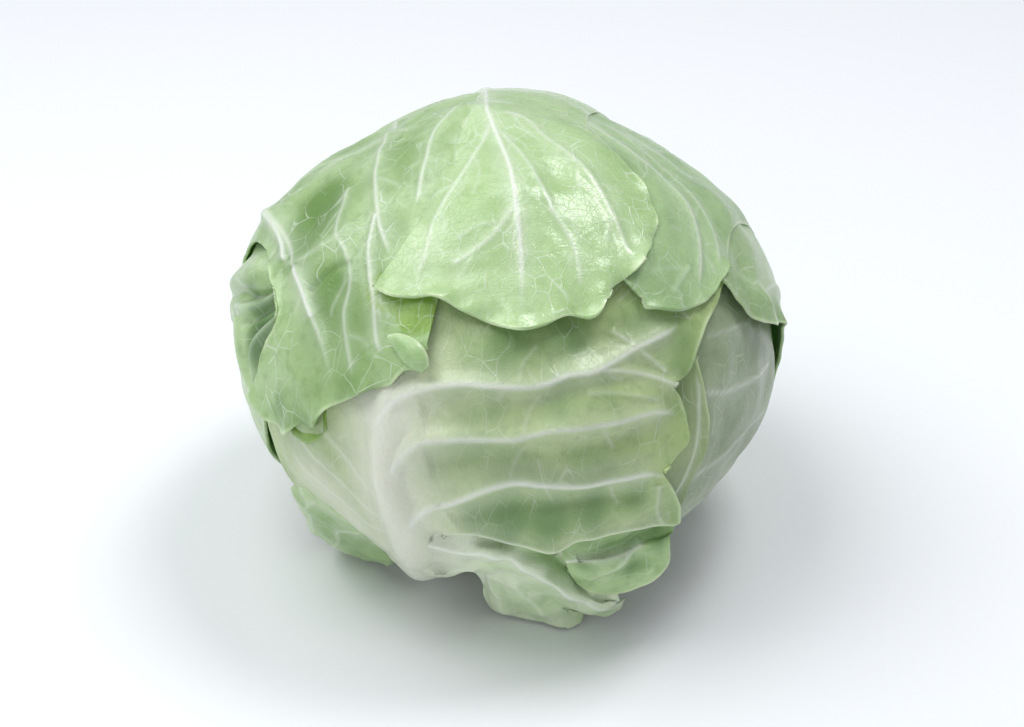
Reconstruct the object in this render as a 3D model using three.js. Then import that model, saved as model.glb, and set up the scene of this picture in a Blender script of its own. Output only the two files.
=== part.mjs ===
// White cabbage, standing on its cut stem.
//
// Inside is the packed head: the tight inner leaves, which hold together as one solid.
// Around it lie ten wrapper leaves. Each one grows from beside the stem, runs up one side
// and wraps over the head, so the leaves overlap like the layers of an onion.
//
// Every leaf is drawn on one flat map of the head, in degrees. The map's centre (0, 0) is
// the top of the head. The distance from the centre is the angle down from the top, so 90 is
// the head's waist and 180 the stem. +X on the map is the head's right, -Y its front.
// A skin radius in millimetres wraps the map round the head, and each leaf has a lift
// above that skin, which keeps the layers apart.
//
// Millimetres, +Z up. The origin is the centre of the stem's flat cut face.

import * as THREE from "three";

// Driving dimensions.
const HEAD_CENTRE_Z = 80; // height of the head's centre above the surface it rests on
const FLOOR_CLEARANCE = 0.4; // leaf bellies stop this far above the stem's cut face
const LEAF_THICKNESS = 1.2;
const LAYER_PITCH = 2.2; // from the outside of one leaf to the outside of the next
const HEAD_DEPTH = 4 * LAYER_PITCH; // packed head's surface below the skin
const FOOT_DOWN = 159; // degrees from the top to where the leaves leave the stem
const STEM_RADIUS = 18;
const STEM_HEIGHT = 11.8;
const STEM_TOP_RADIUS = 22;
const STEM_BEVEL = 1.2;

const DEGREE = Math.PI / 180;
const RIB_SAMPLES = 32;
const HEAD_RINGS = 24;
const HEAD_SIDES = 40;
const STEM_SIDES = 36;

// The skin's radius from the head's centre, at each angle down from the top.
const SKIN_STEP = 15;
const SKIN_RADII = [84.5, 81.5, 80.5, 82.5, 88, 94, 98, 99, 96, 91, 85.5, 78.5, 74];

// Places where the skin stands out from that profile, or lies under it:
// map position, how far it spreads in degrees, and its height in millimetres.
const SKIN_SWELLINGS = [
  { at: [-6, -2], spread: 9, height: 3.5 }, // the point that the top is drawn up to
  { at: [38, 24], spread: 24, height: -4 }, // flat right shoulder
  { at: [-66, 4], spread: 12, height: 2.5 }, // left shoulder
  { at: [0, -85], spread: 35, height: 2.5 }, // fuller front
];

// The sum of smooth round bumps at a map position.
function swell(x, y, swellings) {
  let sum = 0;
  for (const { at, spread, height } of swellings) {
    const distance = Math.hypot(x - at[0], y - at[1]);
    sum += height * Math.exp(-((distance / spread) ** 2));
  }
  return sum;
}

function skinRadius(x, y) {
  const down = Math.min(Math.hypot(x, y), 180) / SKIN_STEP;
  const last = SKIN_RADII.length - 1;
  const i = Math.min(Math.floor(down), last - 1);
  const t = down - i;
  const [before, from, to, after] = [i - 1, i, i + 1, i + 2].map(
    (k) => SKIN_RADII[Math.min(Math.max(k, 0), last)],
  );
  // A Catmull-Rom curve through the listed radii.
  const bend = 2 * before - 5 * from + 4 * to - after;
  const twist = 3 * (from - to) + after - before;
  // A Catmull-Rom curve through the listed radii.
  const profile = from + 0.5 * t * (to - before + t * (bend + t * twist));
  return profile + swell(x, y, SKIN_SWELLINGS);
}

// The point at a map position and a radius from the head's centre.
function onHead(x, y, radius) {
  const down = Math.hypot(x, y);
  const spread = down > 0 ? Math.sin(down * DEGREE) / down : DEGREE;
  return new THREE.Vector3(x * spread, y * spread, Math.cos(down * DEGREE))
    .multiplyScalar(radius)
    .add(new THREE.Vector3(0, 0, HEAD_CENTRE_Z));
}

// The largest radius that keeps a point above the surface the cabbage rests on.
function floorRadius(x, y) {
  const cosine = Math.cos(Math.min(Math.hypot(x, y), 180) * DEGREE);
  return cosine < 0 ? (HEAD_CENTRE_Z - FLOOR_CLEARANCE) / -cosine : Infinity;
}

// Map position from an angle down from the top and a bearing: 0 is the front, 90 the right.
function bearing(down, degrees) {
  return new THREE.Vector2(down * Math.sin(degrees * DEGREE), -down * Math.cos(degrees * DEGREE));
}

// A smooth curve through map positions.
function curve(points) {
  return new THREE.SplineCurve(points.map((p) => (p.isVector2 ? p : new THREE.Vector2(...p))));
}

// A closed mesh from two grids of points, the outer and the inner face of a shell.
function shellGeometry(outer, inner, rows, columns) {
  const at = (row, column) => row * (columns + 1) + column;
  const count = (rows + 1) * (columns + 1);
  const triangles = [];
  const quad = (a, b, c, d) => triangles.push(a, b, c, a, c, d);
  for (let i = 0; i < rows; i++) {
    for (let j = 0; j < columns; j++) {
      const [a, b, c, d] = [at(i, j), at(i, j + 1), at(i + 1, j + 1), at(i + 1, j)];
      quad(a, b, c, d);
      quad(d + count, c + count, b + count, a + count);
    }
  }
  const rim = [];
  for (let j = 0; j < columns; j++) rim.push(at(0, j));
  for (let i = 0; i < rows; i++) rim.push(at(i, columns));
  for (let j = columns; j > 0; j--) rim.push(at(rows, j));
  for (let i = rows; i > 0; i--) rim.push(at(i, 0));
  rim.forEach((a, k) => {
    const b = rim[(k + 1) % rim.length];
    quad(b, a, a + count, b + count);
  });
  const positions = [...outer, ...inner].flatMap((p) => p.toArray());
  const geometry = new THREE.BufferGeometry();
  geometry.setAttribute("position", new THREE.Float32BufferAttribute(positions, 3));
  geometry.setIndex(triangles);
  geometry.computeVertexNormals();
  return geometry;
}

// A function of map position: how far the midrib stands out there. It fades from foot to tip.
function midrib({ path, height, width }) {
  const onSkin = (p) => onHead(p.x, p.y, skinRadius(p.x, p.y));
  const line = curve(path).getPoints(RIB_SAMPLES).map(onSkin);
  return (x, y) => {
    const distances = line.map((sample) => sample.distanceTo(onSkin({ x, y })));
    const nearest = Math.min(...distances);
    const share = 1 - distances.indexOf(nearest) / RIB_SAMPLES;
    return height * share * Math.exp(-((nearest / (width * (0.4 + 0.6 * share))) ** 2));
  };
}

// One leaf. Its blade fills the map between four edges: the foot beside the stem, the left
// and right edges, and the tip. Left and right are as seen from the foot, looking up.
// Lift counts layers above the skin.
function leafGeometry({ foot, left, tip, right, lift, rib, swellings = [], rows, columns }) {
  const footAt = (v) => bearing(FOOT_DOWN, foot[0] + (foot[1] - foot[0]) * v);
  const leftCurve = curve([footAt(0), ...left, tip[0]]);
  const rightCurve = curve([footAt(1), ...right, tip[tip.length - 1]]);
  const tipCurve = curve(tip);
  const corners = [footAt(0), footAt(1), tipCurve.getPoint(0), tipCurve.getPoint(1)];
  const ribHeight = rib ? midrib(rib) : () => 0;

  // A Coons patch: the mean of the two ways across, less what the corners count twice.
  function onBlade(u, v) {
    const sides = leftCurve.getPointAt(u).lerp(rightCurve.getPointAt(u), v);
    const ends = footAt(v).lerp(tipCurve.getPointAt(v), u);
    const near = corners[0].clone().lerp(corners[1], v);
    const far = corners[2].clone().lerp(corners[3], v);
    return sides.add(ends).sub(near.lerp(far, u));
  }

  const outer = [];
  const inner = [];
  for (let i = 0; i <= rows; i++) {
    for (let j = 0; j <= columns; j++) {
      const { x, y } = onBlade(i / rows, j / columns);
      const nominal = skinRadius(x, y) + lift * LAYER_PITCH + swell(x, y, swellings);
      const highest = floorRadius(x, y);
      outer.push(onHead(x, y, Math.min(nominal + ribHeight(x, y), highest)));
      inner.push(onHead(x, y, Math.min(nominal, highest) - LEAF_THICKNESS));
    }
  }
  return shellGeometry(outer, inner, rows, columns);
}

// The leaves, from the innermost out.
const LEAVES = {
  // Right of the head, under everything else on that side.
  right_side_leaf: {
    lift: -3,
    foot: [46, 80],
    left: [[84, -100], [56, -84], [42, -56]],
    tip: [[42, -26], [56, -4], [72, 8], [90, 14]],
    right: [[136, -20], [118, -4], [104, 8]],
    rows: 12,
    columns: 10,
  },
  // A strip of this leaf shows beyond the front wrapper's right edge.
  inner_front_leaf: {
    lift: -2,
    foot: [-4, 40],
    left: [[6, -128], [16, -92], [28, -60]],
    tip: [[40, -38], [46, -44], [52, -52]],
    right: [[86, -102], [70, -86], [65, -72], [61, -61]],
    rows: 12,
    columns: 8,
  },
  // Low on the left, its edge flared outwards near the floor.
  lower_left_leaf: {
    lift: -2,
    foot: [-86, -58],
    left: [[-144, -24], [-130, -32], [-116, -38]],
    tip: [[-104, -42], [-92, -54], [-80, -66], [-66, -82]],
    right: [[-114, -100], [-88, -104], [-68, -96]],
    swellings: [{ at: [-130, -62], spread: 20, height: 12 }],
    rows: 10,
    columns: 10,
  },
  // The large leaf at the front. Its white midrib stands out at the left, down to the floor,
  // and its lower right margin is spread out on the floor.
  front_wrapper_leaf: {
    lift: -1,
    foot: [-50, -16],
    left: [[-92, -112], [-66, -104], [-60, -92], [-68, -84], [-78, -70], [-81, -58]],
    tip: [[-76, -46], [-44, -40], [-14, -40], [14, -40], [38, -34], [57, -31]],
    right: [[2, -146], [42, -136], [78, -114], [62, -92], [51, -79], [52, -70], [46, -61], [51, -46]],
    rib: { path: [[-84, -130], [-62, -118], [-44, -102], [-39, -88], [-37, -68]], height: 8, width: 11 },
    swellings: [
      { at: [45, -130], spread: 24, height: 16 },
      { at: [80, -113], spread: 15, height: 12 },
    ],
    rows: 18,
    columns: 18,
  },
  // Left of the head and round to the back, its front margin crumpled.
  left_side_leaf: {
    lift: -1,
    foot: [-114, -90],
    left: [[-122, 46], [-98, 54], [-68, 50]],
    tip: [[-46, 40], [-50, 10], [-62, -20], [-74, -34]],
    right: [[-140, -26], [-118, -36], [-98, -42], [-86, -40]],
    rows: 12,
    columns: 10,
  },
  // Under the crown leaf at the back.
  back_leaf: {
    lift: 0,
    foot: [148, 184],
    left: [[88, 104], [78, 62], [56, 30]],
    tip: [[34, 16], [0, 22], [-30, 22]],
    right: [[-30, 122], [-38, 80], [-36, 46]],
    rows: 12,
    columns: 10,
  },
  // Right of the head, its front margin folding over the right side.
  right_back_leaf: {
    lift: 0,
    foot: [84, 112],
    left: [[138, -8], [112, 0], [92, -4], [80, -14]],
    tip: [[75, -24], [70, -29], [62, -31], [53, -30]],
    right: [[120, 58], [86, 48], [58, 30], [44, 8], [44, -14]],
    rib: { path: [[154, 22], [130, 26], [104, 24]], height: 3, width: 9 },
    rows: 14,
    columns: 8,
  },
  // Up the back right, over the right shoulder and down the front right.
  right_wrapper_leaf: {
    lift: 1,
    foot: [116, 146],
    left: [[112, 56], [84, 34], [66, 10], [58, -10], [56, -24]],
    tip: [[54, -32], [47, -42], [40, -47], [33, -49], [27, -44]],
    right: [[50, 100], [26, 54], [8, 20], [2, 0], [8, -18], [17, -34]],
    rib: { path: [[118, 104], [88, 88], [62, 62]], height: 4, width: 9 },
    rows: 18,
    columns: 10,
  },
  // Up the back left, over the left shoulder and down the front left.
  left_wrapper_leaf: {
    lift: 2,
    foot: [-150, -116],
    left: [[-54, 104], [-32, 62], [-16, 30], [-9, 8], [-10, -14], [-12, -36], [-17, -52]],
    tip: [[-23, -65], [-34, -66], [-46, -65], [-56, -65], [-66, -60], [-76, -46]],
    right: [[-120, 50], [-100, 34], [-82, 12], [-70, -6], [-62, -20], [-62, -32], [-68, -39]],
    rib: { path: [[-116, 108], [-98, 84], [-82, 54], [-70, 26]], height: 4, width: 9 },
    rows: 20,
    columns: 12,
  },
  // Up the back, over the point of the head, and down to the broad edge across the front.
  crown_leaf: {
    lift: 3,
    foot: [172, 204],
    left: [[46, 106], [42, 64], [28, 32], [16, 9], [18, -3], [28, -11], [35, -24]],
    tip: [[31, -39], [24, -48], [19, -55], [10, -57], [0, -58], [-11, -55], [-22, -50], [-32, -45]],
    right: [[-62, 106], [-48, 62], [-28, 30], [-14, 7], [-14, -12], [-20, -29]],
    rib: { path: [[-20, 158], [-14, 118], [-8, 70], [-6, 30]], height: 4.5, width: 9 },
    rows: 24,
    columns: 12,
  },
};

// The packed head: the skin less the depth of the layers round it, closed at both poles.
function packedHeadGeometry() {
  const geometry = new THREE.SphereGeometry(1, HEAD_SIDES, HEAD_RINGS);
  const position = geometry.attributes.position;
  for (let k = 0; k < position.count; k++) {
    const ring = Math.floor(k / (HEAD_SIDES + 1));
    const atPole = ring === 0 || ring === HEAD_RINGS;
    const side = atPole ? 0 : (k % (HEAD_SIDES + 1)) % HEAD_SIDES;
    const { x, y } = bearing((180 * ring) / HEAD_RINGS, (360 * side) / HEAD_SIDES);
    const point = onHead(x, y, skinRadius(x, y) - HEAD_DEPTH);
    if (ring === HEAD_RINGS) point.setX(0).setY(0);
    position.setXYZ(k, point.x, point.y, point.z);
  }
  geometry.computeVertexNormals();
  return geometry;
}

// The cut stem: a flat face to rest on, widening to where the leaves grow from it.
function stemGeometry() {
  const middleRadius = STEM_RADIUS + 0.4 * (STEM_TOP_RADIUS - STEM_RADIUS);
  const profile = [
    [0, 0],
    [STEM_RADIUS - STEM_BEVEL, 0],
    [STEM_RADIUS, STEM_BEVEL],
    [middleRadius, STEM_HEIGHT / 2],
    [STEM_TOP_RADIUS, STEM_HEIGHT],
    [0, STEM_HEIGHT],
  ];
  const points = profile.map(([radius, height]) => new THREE.Vector2(radius, height));
  return new THREE.LatheGeometry(points, STEM_SIDES).rotateX(Math.PI / 2);
}

const LEAF_FINISH = { roughness: 0.45, metalness: 0 };
const LEAF_COLORS = {
  crown_leaf: "#bcd6a8",
  left_wrapper_leaf: "#a6c491",
  right_wrapper_leaf: "#a8c293",
  front_wrapper_leaf: "#9cb286",
  inner_front_leaf: "#93a37d",
  right_side_leaf: "#87977a",
};
const COMMON_LEAF_COLOR = "#9bb58a";

const cabbage = new THREE.Group();

function addPiece(name, geometry, finish) {
  const mesh = new THREE.Mesh(geometry, new THREE.MeshStandardMaterial(finish));
  mesh.name = name;
  cabbage.add(mesh);
}

addPiece("stem", stemGeometry(), { color: "#d8d6bd", roughness: 0.7, metalness: 0 });
addPiece("packed_head", packedHeadGeometry(), { color: "#b9cda6", roughness: 0.5, metalness: 0 });
for (const [name, leaf] of Object.entries(LEAVES)) {
  addPiece(name, leafGeometry(leaf), { color: LEAF_COLORS[name] ?? COMMON_LEAF_COLOR, ...LEAF_FINISH });
}

export default cabbage;
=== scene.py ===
# %% [markdown]
# # A white cabbage, leaf by leaf
#
# A head of cabbage is a ball of tightly packed leaves. The last few leaves to open lie over
# it loosely, each one on top of its neighbour, and those are what the eye sees. We model each
# of them as its own thin skin with its own veins, waves and torn edges, and lay them over a
# common ball, so that they overlap the way real ones do.

import math

import bpy
import numpy as np
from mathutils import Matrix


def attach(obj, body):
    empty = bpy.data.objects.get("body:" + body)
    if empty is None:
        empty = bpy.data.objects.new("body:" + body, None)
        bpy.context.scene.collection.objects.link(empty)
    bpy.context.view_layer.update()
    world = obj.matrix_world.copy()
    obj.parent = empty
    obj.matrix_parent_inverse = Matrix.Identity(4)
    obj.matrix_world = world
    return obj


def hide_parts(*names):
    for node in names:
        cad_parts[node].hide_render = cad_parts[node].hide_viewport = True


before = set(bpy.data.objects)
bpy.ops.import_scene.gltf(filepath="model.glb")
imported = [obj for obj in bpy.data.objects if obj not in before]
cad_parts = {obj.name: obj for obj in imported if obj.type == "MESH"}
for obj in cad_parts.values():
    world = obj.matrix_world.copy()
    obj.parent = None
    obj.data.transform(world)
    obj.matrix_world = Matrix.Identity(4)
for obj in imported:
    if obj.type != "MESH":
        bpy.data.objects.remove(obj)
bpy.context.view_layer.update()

# %% [markdown]
# ## The flat map of the head
#
# Every leaf is drawn on one flat map. The map's centre (0, 0) is the top of the head, and the
# distance from the centre is the angle down from the top in degrees, so 90 is the waist and
# 180 the stem. +x on the map is the head's right and -y its front. A skin radius wraps the map
# round the head. All shapes are worked out in millimetres and become metres in the mesh.

# %% Curves through points
MILLIMETRE = 0.001


def bend(before, start, end, after, share):
    """Catmull-Rom: start + share/2 * (end - before + share * (2 before - 5 start + 4 end - after
    + share * (3 (start - end) + after - before)))."""
    first = 2 * before - 5 * start + 4 * end - after
    second = 3 * (start - end) + after - before
    return start + 0.5 * share * (end - before + share * (first + share * second))


def through(points, count):
    """A smooth curve through the points, as count places evenly spaced along it. A point given
    twice makes a corner."""
    p = np.asarray(points, float)
    padded = np.vstack([2 * p[0] - p[1], p, 2 * p[-1] - p[-2]])
    t = np.linspace(0, len(p) - 1, 32 * (len(p) - 1) + 1)
    i = np.minimum(t.astype(int), len(p) - 2)
    fine = bend(padded[i], padded[i + 1], padded[i + 2], padded[i + 3], (t - i)[:, None])
    walked = np.concatenate([[0], np.cumsum(np.linalg.norm(np.diff(fine, axis=0), axis=1))])
    wanted = np.linspace(0, walked[-1], count)
    return np.stack([np.interp(wanted, walked, axis) for axis in fine.T], axis=1)


# %% The skin of the head
HEAD_CENTRE_Z = 80.0
HEAD_CENTRE = np.array([0, 0, HEAD_CENTRE_Z])
FLOOR_CLEARANCE = 0.4
SKIN_STEP = 15
SKIN_RADII = np.array([84.5, 83.5, 82.5, 84.5, 89.5, 94.5, 98, 98, 95, 89.5, 84.5, 79, 75])

# Bumps and hollows on that round profile: map position, spread in degrees, height.
SKIN_SWELLINGS = [
    ((-9, -1), 8, 5.0),
    ((-34, 20), 14, -4.0),
    ((16, 8), 11, -2.5),
    ((40, 20), 24, -4.0),
    ((-66, 4), 12, 2.0),
    ((0, -82), 32, 1.5),
    ((-112, -62), 22, -2.5),
]


def swell(x, y, swellings):
    """The sum of round bumps, each height * exp(-(distance / spread)^2)."""
    total = np.zeros_like(x)
    for (across, along), spread, height in swellings:
        total += height * np.exp(-((x - across) ** 2 + (y - along) ** 2) / spread**2)
    return total


def skin_radius(x, y):
    """The skin's distance from the head's centre over a map position."""
    down = np.minimum(np.hypot(x, y), 180) / SKIN_STEP
    last = len(SKIN_RADII) - 1
    i = np.minimum(down.astype(int), last - 1)
    near = [SKIN_RADII[np.clip(i + k, 0, last)] for k in (-1, 0, 1, 2)]
    return bend(*near, down - i) + swell(x, y, SKIN_SWELLINGS)


def on_head(x, y, radius):
    """The point in space at a map position and a distance from the head's centre."""
    down = np.hypot(x, y)
    spread = np.sin(np.radians(down)) / np.maximum(down, 1e-6)
    unit = np.stack([x * spread, y * spread, np.cos(np.radians(down))], axis=-1)
    return unit * np.asarray(radius)[..., None] + HEAD_CENTRE


def bearing(down, degrees):
    """Map position from an angle down from the top and a bearing: 0 is the front, 90 the right."""
    return down * math.sin(math.radians(degrees)), -down * math.cos(math.radians(degrees))


print("skin at the waist:", skin_radius(np.array([0.0]), np.array([-90.0])))

# %% [markdown]
# ## What gives a leaf its relief
#
# On the outer face of a cabbage leaf the veins stand proud. Main veins are thick ridges that
# thin out towards the rim, and side veins leave them by turns. Between them the blade is
# pillowed and slightly wrinkled. All of these are heights added over the skin, worked out for
# every point of the leaf at once.


# %% Waves and lines
def waves(points, size, seed, count=12):
    """A smooth random field from -1 to 1 or so: a sum of sine waves that cross the points in
    seeded random directions, with wavelengths near size."""
    random = np.random.default_rng(seed)
    way = random.normal(size=(count, 3))
    way /= np.linalg.norm(way, axis=1)[:, None]
    length = size * random.uniform(0.7, 1.6, count)
    phase = random.uniform(0, 2 * np.pi, count)
    angle = np.tensordot(points, (2 * np.pi * way / length[:, None]).T, axes=1) + phase
    return np.sin(angle).sum(axis=-1) / math.sqrt(count)


def distance_to(line, points):
    """Each point's distance to a line of short straight pieces, and how far along it that is,
    from 0 at the start to 1 at the end."""
    start, step = line[:-1], np.diff(line, axis=0)
    gaps, shares = [], []
    for block in np.array_split(points, len(points) // 6000 + 1):
        offset = block[:, None, :] - start
        share = np.clip((offset * step).sum(-1) / np.maximum((step * step).sum(-1), 1e-9), 0, 1)
        gap = np.linalg.norm(offset - share[..., None] * step, axis=-1)
        piece, row = gap.argmin(axis=1), np.arange(len(block))
        gaps.append(gap[row, piece])
        shares.append((piece + share[row, piece]) / len(start))
    return np.concatenate(gaps), np.concatenate(shares)


def soft_step(value, low, high):
    """0 below low and 1 above high, with a smooth S between: 3 s^2 - 2 s^3."""
    s = np.clip((value - low) / (high - low), 0, 1)
    return s * s * (3 - 2 * s)


LINE_STEPS = 36
EDGE_STEPS = 120
REACH = 7  # how many widths from a line its relief is worked out
RELIEF = 0.65  # how much of a vein stands proud of the blade
THINNEST = 1.2  # millimetres: a thinner ridge would fall between the points of the grid


def lay_lines(solid, lines, into_space):
    """Heights and paleness of vein-like lines. Each line is its points, its height and its width
    at start and end, and how pale it is; into_space turns the points of a path into places in
    space. A ridge is height * exp(-(distance / width)^2), and where ridges meet the higher one
    counts. Grooves have a negative height and add up."""
    ridge, groove, pale, haze = (np.zeros(len(solid)) for _ in range(4))
    for points, (height_0, height_1), (width_0, width_1), paleness in lines:
        line = into_space(through(points, LINE_STEPS))
        margin = REACH * max(width_0, width_1) + 2
        low, high = line.min(axis=0) - margin, line.max(axis=0) + margin
        near = np.flatnonzero(((solid > low) & (solid < high)).all(axis=1))
        if len(near) == 0:
            continue
        gap, share = distance_to(line, solid[near])
        height = height_0 + (height_1 - height_0) * share
        width = np.maximum(width_0 + (width_1 - width_0) * share, THINNEST)
        fade = soft_step(share, -0.001, 0.04) * (1 - soft_step(share, 0.9, 1.001))
        shape = fade * np.exp(-((gap / width) ** 2))
        stripe = fade * np.exp(-((gap / np.maximum(0.36 * width, 0.7)) ** 2))
        ridge[near] = np.maximum(ridge[near], RELIEF * np.maximum(height, 0) * shape)
        groove[near] += np.minimum(height, 0) * shape
        pale[near] = np.maximum(pale[near], paleness * stripe)
        haze[near] = np.maximum(haze[near], paleness * fade * np.exp(-((gap / (3 * width)) ** 2)))
    return ridge + groove, pale, haze


def side_veins(main, spacing, length, seed, turn=50, thick=0.3):
    """Veins that leave a main vein by turns, left and right, then bend back towards its tip:
    each is a short run of points with a heading that turns a little at every step."""
    random = np.random.default_rng(seed)
    path = through(main, 80)
    walked = np.linalg.norm(np.diff(path, axis=0), axis=1).sum()
    count = max(2, int(walked / spacing))
    veins = []
    for k in range(count):
        share = (k + random.uniform(0.3, 0.7)) / count
        at = int(share * 70)
        ahead = path[at + 6] - path[at]
        side = 1 if k % 2 else -1
        heading = math.atan2(ahead[1], ahead[0]) + side * math.radians(turn + random.uniform(-8, 8))
        reach = length * random.uniform(0.7, 1.2) * (1 - 0.4 * share)
        points = [path[at]]
        for _ in range(4):
            step = np.array([math.cos(heading), math.sin(heading)]) * reach / 4
            points.append(points[-1] + step)
            heading -= side * math.radians(random.uniform(2, 14))
            heading += math.radians(random.uniform(-9, 9))
        strength = thick * random.uniform(0.7, 1.2)
        veins.append((points, (strength, 0.1), (1.2, 1.2), 0.2 * random.uniform(0.5, 1.2)))
    return veins


def with_side_veins(mains, spacing, length, seed, but_last=0):
    """Main veins, then the side veins of all of them but the last few. Seeds go up by 1."""
    veins = list(mains)
    for k, (path, *_) in enumerate(mains[: len(mains) - but_last]):
        veins += side_veins(path, spacing, length, seed + k)
    return veins


# %% [markdown]
# ## Turning numbers into a leaf
#
# A leaf's outline is four curves on the map: the base at the stem, the left and right edges,
# and the tip. A Coons patch fills them: it averages the two ways across and takes away
# what the corners count twice. Where an outline bends sharply the patch would fold over
# itself, so its places are then evened out. The outer face gets a fine grid. The inner face is the same
# grid at half the density, moved inwards along the surface's own normal, and a rim joins them,
# so that a leaf is one closed skin about a millimetre thick.


# %% Filling an outline
def coons(left, right, foot, tip, u, v):
    """left(u) and right(u) mixed by v, plus foot(v) and tip(v) mixed by u, less the bilinear
    mix of the four corners."""
    u, v = u[:, None, None], v[None, :, None]
    sides = left[:, None] * (1 - v) + right[:, None] * v
    ends = foot[None] * (1 - u) + tip[None] * u
    corners = (foot[0] * (1 - v) + foot[-1] * v) * (1 - u) + (tip[0] * (1 - v) + tip[-1] * v) * u
    return sides + ends - corners


ROUNDS = 250 // 1  # coarser grids would need fewer


def evened(flat):
    """Takes folds out of a filled outline: each place inside moves to the mean of its four
    neighbours, again and again, while the border stays."""
    for _ in range(ROUNDS):
        flat[1:-1, 1:-1] = (flat[:-2, 1:-1] + flat[2:, 1:-1] + flat[1:-1, :-2] + flat[1:-1, 2:]) / 4
    return flat


def at_shares(points, shares):
    """Places on the curve through the points, at shares of its length."""
    fine = through(points, 1200)
    along = np.linspace(0, 1, len(fine))
    return np.stack([np.interp(shares, along, axis) for axis in fine.T], axis=1)


def surface_normals(grid):
    """Unit normals of a grid of points: the cross product of its steps along and across."""
    along = np.gradient(grid, axis=0)
    across = np.gradient(grid, axis=1)
    normal = np.cross(across, along)
    return normal / np.maximum(np.linalg.norm(normal, axis=-1, keepdims=True), 1e-9)


# %% Closing a skin into a mesh
def quads(index):
    """Two triangles for each cell of a grid of vertex numbers."""
    a, b, c, d = index[:-1, :-1], index[:-1, 1:], index[1:, 1:], index[1:, :-1]
    halves = np.stack([a, b, c], -1), np.stack([a, c, d], -1)
    return np.concatenate([half.reshape(-1, 3) for half in halves])


def rim_of(index):
    """The vertex numbers round the border of a grid, once round."""
    return np.concatenate([index[0, :-1], index[:-1, -1], index[-1, :0:-1], index[:0:-1, 0]])


def on_both_faces(grid):
    """A grid's values for the fine outer face, then for the inner face at half the density."""
    shape = (-1, *grid.shape[2:])
    return np.concatenate([grid.reshape(shape), grid[::2, ::2].reshape(shape)])


def closed_faces(fine, coarse):
    """The triangles of both faces and of the rim between them, from the vertex numbers of the
    fine outer grid and of the inner grid at half its density."""
    edge, here = rim_of(fine), rim_of(coarse)
    first, middle, third = edge[::2], edge[1::2], np.roll(edge[::2], -1)
    there = np.roll(here, -1)
    fans = (middle, first, here), (middle, here, there), (middle, there, third)
    rim = [np.stack(fan, -1) for fan in fans]
    return np.concatenate([quads(fine), quads(coarse)[:, ::-1], *rim])


def skin_mesh(name, outer, thickness, uv, masks, material):
    """A closed skin. outer is a grid of points with odd counts of rows and columns, thickness a
    grid of millimetres. uv and masks go to the vertices of both faces."""
    normal = surface_normals(outer)
    outwards = (normal * (outer - HEAD_CENTRE)).sum() > 0
    inner = (outer - normal * (thickness if outwards else -thickness)[..., None])[::2, ::2]
    fine = np.arange(outer.shape[0] * outer.shape[1]).reshape(outer.shape[:2])
    coarse = fine.size + np.arange(inner.shape[0] * inner.shape[1]).reshape(inner.shape[:2])
    faces = closed_faces(fine, coarse)
    if not outwards:
        faces = faces[:, ::-1]
    points = np.concatenate([outer.reshape(-1, 3), inner.reshape(-1, 3)])
    piece = smooth_object(name, points, faces, material)
    mesh = piece.data
    corner = np.empty(len(mesh.loops), np.int32)
    mesh.loops.foreach_get("vertex_index", corner)
    layer = mesh.uv_layers.new(name="map")
    layer.data.foreach_set("uv", on_both_faces(uv)[corner].astype(np.float32).ravel())
    for mask, grid in masks.items():
        field = mesh.attributes.new(mask, "FLOAT", "POINT")
        field.data.foreach_set("value", on_both_faces(grid).astype(np.float32))
    mesh.update()
    return piece


def smooth_object(name, points, faces, material):
    """A smooth shaded object in the scene from points in millimetres."""
    mesh = bpy.data.meshes.new(name)
    mesh.from_pydata((points * MILLIMETRE).tolist(), [], faces.tolist())
    mesh.polygons.foreach_set("use_smooth", np.ones(len(faces), bool))
    mesh.materials.append(material)
    piece = bpy.data.objects.new(name, mesh)
    bpy.context.collection.objects.link(piece)
    print(f"{name}: {len(faces)} triangles")
    return piece


def place(piece, node):
    """Hangs a finished piece on the root body and hides the imported part that it stands for."""
    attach(piece, "root")
    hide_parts(node)


# %% [markdown]
# ## What a cabbage leaf looks like
#
# The blade is a thin green tissue under a bluish wax, so it is satin rather than glossy, and a
# little light goes through it. Veins hold no green and read as white lines. A fine net of
# smaller veins divides the blade into cells a few millimetres across. The outer leaves of a
# white cabbage are nearly white at the foot and midrib and green at the free edge.


# %% Colours and nodes
def linear(hex_colour):
    """An sRGB hex colour as the linear numbers that shaders use."""
    parts = [int(hex_colour[i : i + 2], 16) / 255 for i in (1, 3, 5)]
    return (*[c / 12.92 if c <= 0.04045 else ((c + 0.055) / 1.055) ** 2.4 for c in parts], 1.0)


def add_node(tree, kind, settings=None, **links):
    """Adds a node, sets its properties and input values, and links inputs to other sockets."""
    node = tree.nodes.new(kind)
    for name, value in (settings or {}).items():
        if isinstance(name, int) or name in node.inputs:
            node.inputs[name].default_value = value
        else:
            setattr(node, name, value)
    for name, socket in links.items():
        wanted = name.replace("_", " ")
        tree.links.new(socket, next(i for i in node.inputs if i.name == wanted and not i.is_linked))
    return node


def mixed(tree, factor, first, second):
    """A colour between two: each is a socket or a hex colour, and factor is a socket."""
    node = tree.nodes.new("ShaderNodeMix")
    node.data_type = "RGBA"
    for socket, value in ((node.inputs[6], first), (node.inputs[7], second)):
        if isinstance(value, str):
            socket.default_value = linear(value)
        else:
            tree.links.new(value, socket)
    tree.links.new(factor, node.inputs[0])
    return node.outputs[2]


def ramp(tree, value, low, high, top=1.0):
    """A value turned into 0 to top as it goes from low to high."""
    settings = {"From Min": low, "From Max": high, "To Max": top, "interpolation_type": "SMOOTHSTEP"}
    return add_node(tree, "ShaderNodeMapRange", settings, Value=value).outputs[0]


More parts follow.
